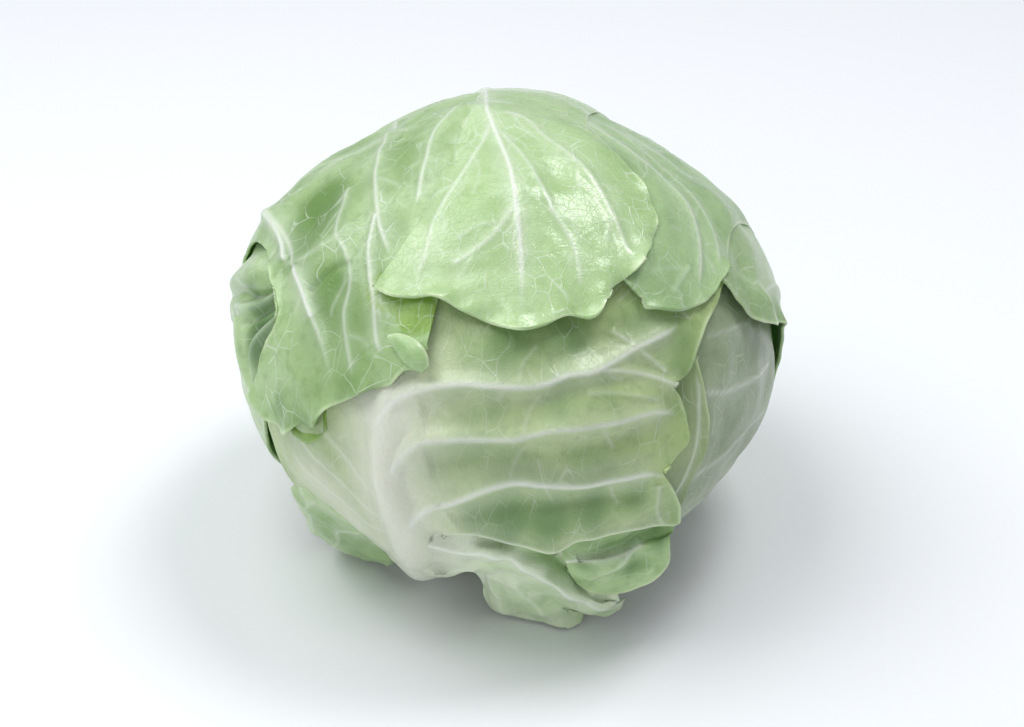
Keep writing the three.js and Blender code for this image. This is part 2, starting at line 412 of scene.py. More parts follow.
# %% [markdown]
# The net of small veins is drawn, not modelled: the borders between the cells of a Voronoi
# pattern branch and meet the way leaf veins do, once noise has bent them. A net with cells of
# 9 mm shows as pale lines, in patches, and a finer one shows only in the relief. Both run along
# the leaf's own map, whose units are millimetres.

# %% The net of small veins
CELL = 9.0  # millimetres across a cell of the net that shows as pale lines
FINE_CELL = 2.6  # millimetres across a cell of the net that shows in the relief
LINE_SHARE = 0.035  # a line's half width, as a share of a cell
FINE_LINE_SHARE = 0.06
CELL_IRREGULARITY = 0.9
NET_WARP = 0.06  # per millimetre: the warp turns over every 17 mm
NET_BEND = (12.0, 12.0, 0.0)  # millimetres by which the warp bends the net
NET_PATCHES = 0.05  # per millimetre: the net fades in and out over 20 mm


def vein_net(tree, uv, strength):
    """Two sockets that are 1 on a border between cells and 0 a line's width away from it: the
    coarse net, which fades in patches and reaches strength at most, and the fine net."""
    warp = add_node(tree, "ShaderNodeTexNoise", {"Scale": NET_WARP, "Detail": 0.5}, Vector=uv)
    shift = add_node(tree, "ShaderNodeVectorMath", {"operation": "SUBTRACT", 1: (0.5, 0.5, 0.5)})
    tree.links.new(warp.outputs["Color"], shift.inputs[0])
    bent = add_node(tree, "ShaderNodeVectorMath", {"operation": "MULTIPLY_ADD", 1: NET_BEND})
    tree.links.new(shift.outputs[0], bent.inputs[0])
    tree.links.new(uv, bent.inputs[2])
    lines = []
    for cell, width in ((CELL, LINE_SHARE), (FINE_CELL, FINE_LINE_SHARE)):
        settings = {
            "feature": "DISTANCE_TO_EDGE",
            "Scale": 1 / cell,
            "Randomness": CELL_IRREGULARITY,
        }
        cells = add_node(tree, "ShaderNodeTexVoronoi", settings, Vector=bent.outputs[0])
        lines.append(ramp(tree, cells.outputs["Distance"], width, 0.0))
    fading = add_node(tree, "ShaderNodeTexNoise", {"Scale": NET_PATCHES, "Detail": 1.0}, Vector=uv)
    shown = ramp(tree, fading.outputs[0], 0.42, 0.62, strength)
    coarse = add_node(tree, "ShaderNodeMath", {"operation": "MULTIPLY"})
    tree.links.new(lines[0], coarse.inputs[0])
    tree.links.new(shown, coarse.inputs[1])
    return coarse.outputs[0], lines[1]


# %% [markdown]
# The tissue's green is never even: broad patches of 25 mm and mottling of 4 mm run between a
# light and a deep green. Each leaf is also given masks: one says where shade is painted in, as
# the deep green laid into its hollows, valleys and folds, and the others say where its veins and
# its foot are white, and where its inner face shows, which is a brighter yellow green.

# %% The green of the tissue
PATCHES = {"Scale": 40.0, "Detail": 3.0}  # per metre: patches of about 25 mm
MOTTLING = {"Scale": 260.0, "Detail": 4.0}  # per metre: spots of about 4 mm
INSIDE_LIGHT = "#8db24c"
INSIDE_DEEP = "#74992f"
RIM_GREEN = "#dceec0"  # the rim is thin and lets light through, so it is the palest green
# deep is painted shade: it lays the deep green into hollows, valleys and folds
MASKS = ("vein", "haze", "foot", "rim", "inside", "deep")


def leaf_colour(tree, place_in_head, patch, coarse_net, greens, whites):
    """Green tissue, darkened by painted shade where the deep mask says, then over it the net, the
    haze beside the veins, the white foot, the veins and the pale rim, each mixed in by its own mask."""
    light, deep = greens
    vein, foot = whites
    mask = {}
    for name in MASKS:
        mask[name] = add_node(tree, "ShaderNodeAttribute", {"attribute_name": name}).outputs["Fac"]
    mottle = add_node(tree, "ShaderNodeTexNoise", MOTTLING, Vector=place_in_head).outputs[0]
    green = mixed(tree, ramp(tree, patch, 0.38, 0.7, 0.6), light, deep)
    green = mixed(tree, ramp(tree, mottle, 0.45, 0.75, 0.35), green, deep)
    # painted shade: the deep mask darkens hollows, valleys and folds to the deep green
    green = mixed(tree, mask["deep"], green, deep)
    inner_green = mixed(tree, ramp(tree, patch, 0.4, 0.6), INSIDE_LIGHT, INSIDE_DEEP)
    colour = mixed(tree, mask["inside"], green, inner_green)
    colour = mixed(tree, coarse_net, colour, vein)
    colour = mixed(tree, mask["haze"], colour, vein)
    colour = mixed(tree, mask["foot"], colour, foot)
    colour = mixed(tree, mask["vein"], colour, vein)
    return mixed(tree, mask["rim"], colour, RIM_GREEN)


# %% [markdown]
# Under the wax the skin is finely crinkled, and the wax itself has a grain of about a
# millimetre. Both are too small for the mesh, so they are bump, added up with the nets. Bump
# catches the light in the highlights, where a smooth leaf would look like plastic.

# %% The relief of the skin
GRAIN = {"Scale": 900.0, "Detail": 3.0}  # per metre: grain of about 1 mm
CRINKLES = {"Scale": 230.0, "Detail": 4.0, "Distortion": 0.6}  # per metre: 4 mm or so
FINE_NET_HEIGHT = 0.5
GRAIN_HEIGHT = 0.6
CRINKLE_HEIGHT = 1.6
RELIEF_STEP = 0.0003  # metres for a height of 1
RELIEF_STRENGTH = 0.5


def skin_relief(tree, place_in_head, coarse_net, fine_net):
    """A bumped normal. Height = coarse net + 0.5 fine net + 0.6 grain + 1.6 crinkles."""
    grain = add_node(tree, "ShaderNodeTexNoise", GRAIN, Vector=place_in_head).outputs[0]
    crinkle = add_node(tree, "ShaderNodeTexNoise", CRINKLES, Vector=place_in_head).outputs[0]
    height = coarse_net
    for part, share in ((fine_net, FINE_NET_HEIGHT), (grain, GRAIN_HEIGHT), (crinkle, CRINKLE_HEIGHT)):
        added = add_node(tree, "ShaderNodeMath", {"operation": "MULTIPLY_ADD", 1: share})
        tree.links.new(part, added.inputs[0])
        tree.links.new(height, added.inputs[2])
        height = added.outputs[0]
    settings = {"Strength": RELIEF_STRENGTH, "Distance": RELIEF_STEP}
    return add_node(tree, "ShaderNodeBump", settings, Height=height).outputs[0]


# %% [markdown]
# Leaf tissue has an IOR near 1.42. The wax is a thin satin coat over it, and a little of the
# light goes into the blade and comes out greener nearby, which subsurface scattering gives.

# %% The whole leaf material
VEIN_WHITE = "#ebf1e3"
FOOT_WHITE = "#d9dbc9"
WAXED_TISSUE = {
    "IOR": 1.42,
    "Subsurface Weight": 0.18,
    "Subsurface Radius": (0.6, 1.0, 0.3),
    "Subsurface Scale": 0.004,
    "Sheen Weight": 0.06,
    "Sheen Roughness": 0.5,
    "Coat Weight": 0.35,
    "Coat Roughness": 0.26,
}
SMOOTHER = 0.06  # how far the wax goes below and above its own roughness, patch by patch
ROUGHER = 0.12


def leaf_material(name, light, deep, vein=VEIN_WHITE, foot=FOOT_WHITE, net=0.25, gloss=0.32):
    """Living cabbage leaf: green tissue between light and deep, white veins, satin wax; deep is also
    the green of the painted shade in hollows and folds. net is how strongly the small veins show,
    and gloss the wax's roughness."""
    material = bpy.data.materials.new(name)
    material.use_nodes = True
    tree = material.node_tree
    tree.nodes.clear()
    uv = add_node(tree, "ShaderNodeUVMap", {"uv_map": "map"}).outputs[0]
    place_in_head = add_node(tree, "ShaderNodeTexCoord").outputs["Object"]
    patch = add_node(tree, "ShaderNodeTexNoise", PATCHES, Vector=place_in_head).outputs[0]
    coarse_net, fine_net = vein_net(tree, uv, net)
    colour = leaf_colour(tree, place_in_head, patch, coarse_net, (light, deep), (vein, foot))
    relief = skin_relief(tree, place_in_head, coarse_net, fine_net)
    between = {"To Min": gloss - SMOOTHER, "To Max": gloss + ROUGHER}
    roughness = add_node(tree, "ShaderNodeMapRange", between, Value=patch).outputs[0]
    surface = add_node(
        tree,
        "ShaderNodeBsdfPrincipled",
        WAXED_TISSUE,
        Base_Color=colour,
        Roughness=roughness,
        Normal=relief,
    )
    add_node(tree, "ShaderNodeOutputMaterial", Surface=surface.outputs[0])
    return material


# %% [markdown]
# ## One recipe for every wrapper leaf
#
# A leaf's recipe holds its outline, how many layers it lies above the skin, its veins, its
# bumps, and what its free edges do: how far they stand off, how far in that reaches, and how
# they ruffle. Where a leaf sticks to its neighbour its edge can't be seen, so there it has a
# negative height and sinks into the leaf below.

# %% What all leaves share
COARSER = 1
LAYER = 1.5  # millimetres from one layer to the next
DEGREE_LENGTH = 1.7  # millimetres for a degree of the map at the waist
FOOT_DOWN = 159  # degrees down from the top: where leaves leave the stem
FOOT_POINTS = 9
TIGHT_TOP = 0.25
TIGHT_UNTIL, LOOSE_FROM = 5, 30  # degrees down from the top


def focused(count, share, part):
    """count values from 0 to 1 where the last part of the range gets that share of them."""
    return np.interp(np.linspace(0, 1, count), [0, 1 - share, 1], [0, 1 - part, 1])


def looseness(x, y):
    """How freely leaves lie on each other: 1 from 30 degrees down, less at the top, where they
    are pressed together."""
    return TIGHT_TOP + (1 - TIGHT_TOP) * soft_step(np.hypot(x, y), TIGHT_UNTIL, LOOSE_FROM)


def leaf_map(recipe):
    """A leaf's places on the map, from its base to its tip. The base is drawn, or else it is
    the arc beside the stem between two bearings."""
    rows, columns = (n // (2 * COARSER) * 2 + 1 for n in recipe["grid"])
    u = focused(rows, *recipe.get("focus", (0.5, 0.5)))
    v = np.linspace(0, 1, columns)
    if "base" in recipe:
        base = np.array(recipe["base"], float)
    else:
        bearings = np.linspace(*recipe["foot"], FOOT_POINTS)
        base = np.array([bearing(FOOT_DOWN, b) for b in bearings])
    tip = recipe["tip"]
    left = at_shares([base[0], *recipe["left"], tip[0]], u)
    right = at_shares([base[-1], *recipe["right"], tip[-1]], u)
    return evened(coons(left, right, at_shares(base, v), at_shares(tip, v), u, v))


# %% [markdown]
# A free edge does three things. It stands off from the leaf below, or sinks into it where the
# two stick together. It ruffles. And it thins to a pale rim, which comes and goes along the edge.

# %% Edges and floor
RUFFLE_WAVES = 5
FINE_RUFFLES = 0.25  # how much the ruffles of half the size add
RIM_WIDTH = 0.9  # millimetres
RIM_PATCH = 16  # millimetres over which the rim comes and goes
JUST_UNDER_WAIST = 91  # degrees down from the top


def edge_relief(recipe, solid, over_skin):
    """Height = the sum over the edges of exp(-distance / reach) * (stand off + ruffle), and the
    rim's mask."""
    height = np.zeros(len(solid))
    rim = np.zeros(len(solid))
    seed = recipe["seed"]
    for points, stand_off, reach, ruffle, size in recipe.get("edges", []):
        gap = distance_to(over_skin(through(points, EDGE_STEPS)), solid)[0]
        ruffles = waves(solid, size, seed + 2, RUFFLE_WAVES)
        ruffles += FINE_RUFFLES * waves(solid, 0.5 * size, seed + 5, RUFFLE_WAVES)
        height += np.exp(-gap / reach) * (stand_off + ruffle * ruffles)
        patchy = soft_step(waves(solid, RIM_PATCH, seed + 4, RUFFLE_WAVES), -0.9, 0.9)
        rim = np.maximum(rim, patchy * np.exp(-((gap / RIM_WIDTH) ** 2)))
    return height, rim


def above_floor(x, y, radius):
    """The radius, made shorter where the place would be under the floor. Below the waist, the
    floor is height / -cos(angle down) away from the head's centre."""
    down = np.hypot(x, y)
    longest = np.full(len(x), np.inf)
    below = down > JUST_UNDER_WAIST
    longest[below] = (HEAD_CENTRE_Z - FLOOR_CLEARANCE) / -np.cos(np.radians(down[below]))
    return np.minimum(radius, longest)


# %% The leaf maker
HEAD_SEED = 7  # one broad wave for all leaves, so that they lie on each other closely
BROAD_WAVE, WRINKLE = 34, 12  # millimetres from crest to crest
BLADE_THICKNESS = 1.1
RIM_THINNING = 0.6
RIM_PALENESS = 0.7
HAZE = 0.3
BORDER_SOFTNESS = 0.7  # millimetres over which the inner face's green starts
WHITE_FOOT = (112, 150)  # degrees down from the top: where leaves go from green to white


def leaf_masks(recipe, x, y, solid, over_skin):
    """Where the leaf is white towards its foot, where its inner face shows, and where shade is
    painted in as its deep green."""
    foot = soft_step(np.hypot(x, y), *recipe.get("foot_fade", WHITE_FOOT))
    for points, width, strength in recipe.get("pale_lines", []):
        gap = distance_to(over_skin(through(points, LINE_STEPS)), solid)[0]
        foot = np.maximum(foot, strength * np.exp(-((gap / width) ** 2)))
    inside = np.zeros(len(solid))
    for points, width in recipe.get("inside", []):
        gap = distance_to(over_skin(through(points, LINE_STEPS)), solid)[0]
        border = soft_step(gap, width - BORDER_SOFTNESS, width + BORDER_SOFTNESS)
        inside = np.maximum(inside, 1 - border)
    # painted shade: round patches of deep green over the hollows, valleys and folds that the recipe lists
    deep = soft_step(swell(x, y, recipe.get("deep", [])), 0, 1)
    return {"foot": foot, "inside": inside, "deep": deep}


def wrapper_leaf(name, material, recipe):
    """A closed leaf over the skin, for the node of that name. Height over the skin = layer +
    bumps + broad waves + wrinkles + looseness * (veins + what the edges do)."""
    flat = leaf_map(recipe)
    shape = flat.shape[:2]
    x, y = flat.reshape(-1, 2).T
    lift = recipe["layer"] * LAYER
    loose = looseness(x, y)
    base = skin_radius(x, y) + lift * loose
    solid = on_head(x, y, base)

    def over_skin(path):
        return on_head(*path.T, skin_radius(*path.T) + lift * looseness(*path.T))

    on_skin = on_head(x, y, skin_radius(x, y))
    height = swell(x, y, recipe.get("swellings", []))
    height += recipe.get("wave", 0.5) * waves(on_skin, BROAD_WAVE, HEAD_SEED)
    height += recipe.get("wrinkle", 0.2) * waves(solid, WRINKLE, recipe["seed"] + 1)
    ridges, vein, haze = lay_lines(solid, recipe.get("veins", []), over_skin)
    edges, rim = edge_relief(recipe, solid, over_skin)
    height += loose * (ridges + edges)
    outer = on_head(x, y, above_floor(x, y, base + height)).reshape(*shape, 3)
    masks = leaf_masks(recipe, x, y, solid, over_skin)
    masks |= {"vein": vein, "haze": HAZE * haze, "rim": RIM_PALENESS * rim}
    masks = {mask: values.reshape(shape) for mask, values in masks.items()}
    thickness = BLADE_THICKNESS - RIM_THINNING * masks["rim"]
    piece = skin_mesh(name, outer, thickness, flat * DEGREE_LENGTH, masks, material)
    place(piece, name)
    return piece


# %% [markdown]
# The crown leaf was the last to close over the top. Its midrib comes over from the back, and
# side veins leave it like the ribs of a fan. Its front edge hangs free in soft scallops, and the
# edges behind stick to their neighbours, so they sink. Its wax is the smoothest, so that it
# catches the light from above.

# %% The crown leaf
CROWN_MIDRIB = [(-14, 120), (-8, 70), (-6, 30), (-5, -1), (-3, -9), (0, -20), (2, -35), (3, -46), (3, -58)]
CROWN_TIP = [
    (31, -39), (28, -44), (24, -48), (22, -52), (19, -55), (14, -55.5), (8, -58), (3, -59),
    (-4, -58), (-11, -55), (-17, -51), (-23, -50), (-28, -48), (-32, -45), (-32, -45),
]
CROWN_RIGHT_EDGE = [(21, 2), (25, -6), (30, -13), (34, -20), (35.5, -26), (34, -33)]
CROWN_LEFT_EDGE = [
    (-44, 106), (-30, 64), (-13, 38), (-8, 20), (-8.5, 8), (-10, -3), (-13, -12), (-16, -20), (-20, -30),
]
CROWN_BACK_EDGE = [(42, 106), (34, 64), (24, 34), (20, 14)]
CROWN_VEINS = [
    (CROWN_MIDRIB, (2.2, 0.4), (3.2, 1.2), 0.85),
    ([(-4, -6), (-6, -12), (-10, -20), (-17, -32), (-19, -40), (-22, -47)], (0.7, 0.3), (1.6, 1.2), 0.4),
    ([(2, -31), (-3, -38), (-8, -42), (-14, -45)], (0.5, 0.3), (1.4, 1.2), 0.4),
    ([(-2, -9), (2, -15), (6, -23), (10, -32), (15, -40), (17, -50)], (0.7, 0.3), (1.6, 1.2), 0.4),
    (
        [(-2, -2), (4, -3), (9, -10), (16, -17), (21, -24), (28, -38), (29, -41)],
        (1.5, 1.0), (2.6, 1.8), 0.4,
    ),
]
crown_leaf = wrapper_leaf(
    "crown_leaf",
    leaf_material("waxed_crown_blade", "#b6d199", "#94b871", net=0.4, gloss=0.19),
    {
        "grid": (300, 230),
        "wrinkle": 0.12,
        "focus": (0.66, 0.42),
        "seed": 11,
        "layer": 2.4,
        "foot": (172, 204),
        "left": [*CROWN_BACK_EDGE, *CROWN_RIGHT_EDGE],
        "tip": CROWN_TIP,
        "right": [*CROWN_LEFT_EDGE, (-26, -38)],
        "veins": with_side_veins(CROWN_VEINS, 9, 12, 40),
        "swellings": [((11, -22), 5, -1.5), ((4, -26), 9, 1.2), ((-10, -34), 8, 1.0), ((14, -46), 7, 1.0)],
        "edges": [
            (CROWN_TIP, 1.6, 5, 1.4, 16),
            (CROWN_RIGHT_EDGE[2:], 1.0, 3, 0.6, 12),
            ([*CROWN_BACK_EDGE, *CROWN_RIGHT_EDGE[:2]], -1.0, 4, 0, 12),
            (CROWN_LEFT_EDGE, -1.7, 6, 0, 12),
        ],
        # painted shade: deep green in the small hollow beside the midrib
        "deep": [((9, -27), 6, 0.5)],
    },
)

# %% [markdown]
# The left wrapper leaf goes over the left shoulder, where it is pressed in: a hollow, with shade
# painted into it as a deeper green, lies beside a kinked vein. Near the crown leaf its corner has
# turned over, and the brighter green of the inner face shows.

# %% The left wrapper leaf
LEFT_TIP = [
    (-20, -61), (-22, -64.5), (-26, -64), (-31, -66), (-37, -65), (-43, -65), (-50, -64), (-56, -65),
    (-61, -62), (-68, -60), (-73, -54), (-76, -48), (-77, -43),
]
LEFT_MIDRIB = [
    (-112, 104), (-96, 78), (-80, 46), (-68, 20), (-62, 5), (-58, -14), (-53, -33), (-50, -44),
    (-46, -62),
]
LEFT_FRONT_EDGE = [(-64, -10), (-62, -18), (-61, -25), (-60, -31), (-61, -37), (-68, -41), (-77, -43)]
LEFT_VEINS = [
    (LEFT_MIDRIB, (2.5, 0.8), (4.0, 1.6), 0.5),
    ([(-30, 30), (-31, 8), (-32, -8), (-32, -20), (-31, -30), (-28, -39)], (1.1, 0.7), (2.2, 1.6), 0.55),
    (
        [(-32, -24), (-34, -33), (-34, -40), (-33, -48), (-33, -56), (-31, -60)],
        (0.8, 0.4), (1.6, 1.2), 0.6,
    ),
    ([(-11, 2), (-17, -5), (-19, -13), (-21, -22), (-22, -27)], (1.0, 0.7), (1.9, 1.6), 0.5),
    (
        [(-39, -11), (-42, -24), (-40, -32), (-39, -40), (-42, -48), (-40, -62)],
        (0.6, 0.4), (1.4, 1.2), 0.4,
    ),
    ([(-55, -26), (-53, -33), (-50, -44)], (1.6, 1.2), (2.4, 1.6), 1.0),
    ([(-62, 3), (-60, -8), (-58, -22)], (3.2, 2.4), (2.6, 2.2), 0.8),
    ([(-58, -23), (-50, -27), (-43, -27), (-38, -24)], (2.0, 0.8), (2.6, 2.0), 0.2),
    ([(-51, -37), (-44, -35), (-38, -36)], (-1.2, -0.8), (1.4, 1.4), 0.0),
]
left_wrapper_leaf = wrapper_leaf(
    "left_wrapper_leaf",
    leaf_material("waxed_left_blade", "#adc98f", "#6d9249", net=0.42),
    {
        "grid": (290, 230),
        "focus": (0.62, 0.42),
        "seed": 23,
        "layer": 1.5,
        "foot": (-150, -116),
        "left": [
            (-26, 104), (-12, 62), (-3, 28), (-3, 8), (-8, -10), (-10, -26), (-13, -42), (-16.5, -50),
        ],
        "tip": LEFT_TIP,
        "right": [(-120, 50), (-100, 34), (-82, 14), (-70, 2), *LEFT_FRONT_EDGE[:-1]],
        "veins": with_side_veins(LEFT_VEINS, 13, 12, 60, but_last=4),
        "swellings": [
            ((-62, 1), 6, 2.5), ((-51, -15), 8, -3.5), ((-46, -26), 8, 1.4), ((-44, -50), 7, -1.2),
        ],
        "edges": [(LEFT_TIP, 1.4, 5, 1.6, 14), (LEFT_FRONT_EDGE, 1.6, 4, 0.8, 12)],
        "inside": [([(-30, -46), (-24, -50), (-22, -54)], 7)],
        # painted shade: deep green in the pressed-in hollow, on its lower part and by its front corner
        "deep": [
            ((-52, -16), 10, 1.2), ((-46, -8), 8, 0.7), ((-46, -38), 6, 0.8), ((-66, -54), 4, 0.7),
            ((-42, -50), 15, 0.6),
        ],
    },
)

# %% [markdown]
# The right wrapper leaf comes out from under the crown leaf, which hides its inner half, and
# ends in a rounded edge. It is bluer and flatter than the left one.

# %% The right wrapper leaf
RIGHT_TIP = [
    (56, -25), (54, -30), (51, -37), (47, -42), (42, -46), (36, -48), (33, -49), (32, -47), (27, -44),
]
RIGHT_BACK_EDGE = [(112, 56), (84, 34), (68, 12), (60, -6), (58, -18)]
RIGHT_VEINS = [
    (
        [(8, 30), (16, 14), (26, 2), (37, -5), (44, -11), (47, -18), (48, -27), (47, -39)],
        (1.2, 0.8), (2.2, 1.6), 0.5,
    ),
    ([(45, -33), (42, -39), (40, -43)], (0.6, 0.4), (1.3, 1.2), 0.2),
    ([(28, 8), (40, 0), (50, -9), (53, -18), (53, -28)], (0.8, 0.4), (1.4, 0.8), 0.35),
    ([(118, 104), (88, 88), (62, 62), (36, 36)], (4.0, 1.0), (4.5, 2.0), 0.7),
]
right_wrapper_leaf = wrapper_leaf(
    "right_wrapper_leaf",
    leaf_material("waxed_right_blade", "#a8c58d", "#84a46a", net=0.25),
    {
        "grid": (220, 160),
        "focus": (0.6, 0.4),
        "seed": 31,
        "layer": 1.4,
        "foot": (116, 146),
        "left": RIGHT_BACK_EDGE,
        "tip": RIGHT_TIP,
        "right": [(50, 100), (26, 54), (8, 20), (0, 4), (8, -12), (16, -28), (22, -39)],
        "veins": with_side_veins(RIGHT_VEINS, 10, 11, 80),
        "swellings": [((38, -26), 8, 1.2), ((30, -16), 6, -1.0)],
        "edges": [(RIGHT_TIP, 1.2, 4, 0.7, 16), (RIGHT_BACK_EDGE, -1.0, 5, 0, 16)],
    },
)

# %% [markdown]
# The front wrapper leaf is the oldest here, and the others lie on it. Its midrib is a broad
# white wedge at the lower left, and three strong veins cross the blade from there. The blade
# sags between them, so the veins get valleys. Its base is drawn along the hem, where the lobes
# grow out from it, and the part of the hem that lies on a lobe sinks into it.

# %% The front wrapper leaf
FRONT_RIB = [
    (-84, -130), (-58, -118), (-43, -106), (-38, -98), (-38, -90), (-37, -80), (-34, -72), (-32, -62),
]
FRONT_FOOT_EDGE = [(-62, -142), (-48, -134), (-36, -116)]
FRONT_HEM = [
    (-26, -104), (-19, -101), (-10, -101), (2, -104), (10, -105.5), (19, -106), (29, -101), (45, -96),
    (64, -88),
]
FRONT_RIGHT_EDGE = [
    (66, -86), (60, -83), (52, -81), (45.5, -79), (50, -75.5), (53, -70), (51, -66), (48, -63), (45, -62),
    (44.5, -61), (47, -59), (49, -55), (50, -46), (52, -41), (57, -31),
]
FRONT_VEINS = [
    (FRONT_RIB, (12.0, 2.5), (11.0, 5.0), 0.1),
    ([(-54, -106), (-48, -98), (-45, -90), (-42, -80), (-39, -70)], (-1.8, -0.9), (2.2, 1.6), 0.0),
    ([(-28, -104), (-30, -96), (-31, -88), (-30, -80)], (-1.5, -0.6), (3.0, 2.0), 0.0),
    (
        [
            (-38, -73), (-28, -69), (-13, -69), (-4, -70), (7, -70), (15, -67), (24, -64), (41, -51),
            (42, -47),
        ],
        (3.2, 2.2), (3.2, 2.6), 0.8,
    ),
    ([(22, -65), (33, -63), (39, -62), (47, -61)], (1.8, 1.0), (2.2, 1.6), 0.6),
    (
        [
            (-37, -84), (-26, -79), (-18, -79), (-8, -80), (2, -80), (11, -78), (21, -76), (31, -73),
            (40, -69), (49, -66),
        ],
        (3.2, 1.8), (3.2, 2.2), 0.7,
    ),
    (
        [
            (-36, -97), (-26, -93), (-16, -92), (-7, -90), (2, -89), (13, -89), (24, -88), (35, -84),
            (42, -81), (48, -80),
        ],
        (4.2, 2.4), (3.4, 2.4), 0.85,
    ),
    (FRONT_HEM, (1.0, 1.2), (2.0, 2.0), 0.6),
    ([(-44, -100), (-56, -88), (-66, -76), (-74, -62)], (1.0, 0.4), (2.0, 1.2), 0.35),
    ([(-44, -94), (-54, -82), (-62, -70), (-66, -60)], (1.0, 0.4), (2.0, 1.2), 0.35),
    ([(-43, -88), (-50, -76), (-55, -66)], (0.8, 0.4), (2.0, 1.2), 0.3),
]
FRONT_VALLEYS = [
    ([(-24, -73.5), (-4, -75), (14, -71.5), (30, -66), (42, -58)], (-1.6, -1.2), (5.0, 4.0), 0.0),
    ([(-24, -84), (-4, -85), (14, -82.5), (32, -77), (44, -73)], (-1.8, -1.2), (5.0, 4.0), 0.0),
    ([(-20, -97), (-4, -95), (14, -94), (32, -90), (46, -85)], (-1.4, -1.2), (4.0, 3.0), 0.0),
    ([(10, -66), (22, -59), (32, -53)], (-1.4, -1.0), (4.0, 3.0), 0.0),
    ([(26, -56), (34, -58), (43, -60)], (1.4, 1.0), (1.6, 1.4), 0.4),
    ([(20, -70), (30, -68), (42, -66)], (1.0, 0.8), (1.6, 1.4), 0.2),
    ([(46, -82), (52, -88), (60, -90)], (1.2, 0.8), (1.6, 1.4), 0.3),
]
front_side_veins = []
for strong in (3, 5, 6):  # the three long veins that cross the blade
    path = FRONT_VEINS[strong][0]
    front_side_veins += side_veins(path, 24, 11, 90 + strong, turn=65, thick=0.2)

front_wrapper_leaf = wrapper_leaf(
    "front_wrapper_leaf",
    leaf_material("waxed_front_blade", "#aec483", "#6e9150", vein="#e6ebdc", foot="#dfe3cd", net=0.25),
    {
        "grid": (218, 354),
        "seed": 47,
        "layer": 0,
        "base": [(-94, -127), (-80, -137), *FRONT_FOOT_EDGE, *FRONT_HEM, FRONT_RIGHT_EDGE[0]],
        "left": [
            (-82, -118), (-72, -109), (-65, -100), (-69, -91), (-77, -82), (-84, -72), (-87, -63),
            (-85, -53),
        ],
        "tip": [(-76, -44), (-44, -36), (-14, -36), (14, -36), (40, -28), (57, -27)],
        "right": FRONT_RIGHT_EDGE[1:-1],
        "veins": FRONT_VEINS + FRONT_VALLEYS + front_side_veins,
        "swellings": [((0, -75), 7, 1.0), ((10, -84), 8, 0.8), ((4, -97), 10, -1.5), ((-20, -86), 6, 0.8)],
        "wave": 0.9,
        "edges": [
            (FRONT_HEM[2:], 1.0, 5, 0.6, 20),
            (FRONT_RIGHT_EDGE, 1.2, 4, 0.6, 14),
            ([*FRONT_FOOT_EDGE, *FRONT_HEM[:1]], -2.5, 5, 0, 20),
        ],
        "pale_lines": [(FRONT_RIB, 17, 1.0), ([(-52, -106), (-60, -90), (-68, -74)], 15, 0.7)],
        "foot_fade": (108, 140),
        # painted shade: deep green in the valleys between the long veins
        "deep": [
            ((-12, -97), 6, 0.8), ((0, -98), 7, 1.0), ((14, -98), 7, 1.0), ((28, -94), 7, 0.9),
            ((41, -87), 6, 0.7), ((20, -82), 5, 0.1), ((34, -77), 5, 0.3), ((-4, -75), 5, 0.4),
            ((12, -73), 5, 0.5),
            ((26, -69), 5, 0.4), ((0, -62), 8, 0.7), ((16, -60), 7, 0.7),
        ],
    },
)

# %% [markdown]
# Under the right edge of the front wrapper a strip of the next leaf shows, and right of it the
# side leaf, which is greyer and in shadow.

# %% The inner front leaf and the right side leaf
inner_front_leaf = wrapper_leaf(
    "inner_front_leaf",
    leaf_material("inner_front_blade", "#96ab70", "#7a935c", net=0.3),
    {
        "grid": (130, 90),
        "seed": 53,
        "layer": -1.7,
        "foot": (-4, 40),
        "left": [(6, -128), (16, -92), (28, -60)],
        "tip": [(38, -36), (46, -44), (52, -52)],
        "right": [(86, -102), (72, -92), (65, -77), (64, -70), (62, -63), (57, -58)],
        "veins": [([(58, -100), (60, -80), (58, -66), (52, -54)], (1.0, 0.5), (1.6, 1.0), 0.4)],
        "edges": [([(72, -92), (65, -77), (64, -70), (62, -63), (57, -58), (52, -52)], 0.8, 3, 0.4, 12)],
    },
)
right_side_leaf = wrapper_leaf(
    "right_side_leaf",
    leaf_material("shaded_right_blade", "#98a983", "#788964", vein="#cfd6c6", net=0.3),
    {
        "grid": (160, 130),
        "seed": 59,
        "layer": -2.3,
        "foot": (46, 80),
        "left": [(84, -100), (56, -84), (42, -56)],
        "tip": [(42, -26), (56, -4), (72, 8), (90, 14)],
        "right": [(136, -20), (118, -4), (104, 8)],
        "veins": [
            ([(57, -58), (67, -51), (78, -38), (86, -24)], (1.4, 0.8), (1.8, 1.2), 0.8),
            ([(64, -76), (76, -64), (86, -48), (94, -32)], (1.4, 0.8), (1.8, 1.2), 0.6),
            ([(72, -88), (86, -74), (98, -56), (104, -40)], (1.4, 0.8), (1.8, 1.2), 0.5),
            ([(54, -46), (62, -38), (72, -26)], (0.6, 0.4), (1.2, 0.8), 0.4),
        ],
        "wave": 0.8,
    },
)

# %% [markdown]
# At the far left a leaf is crumpled. Its folds are ridges and valleys laid side by side, each a
# line with a height, like very thick veins that aren't pale.

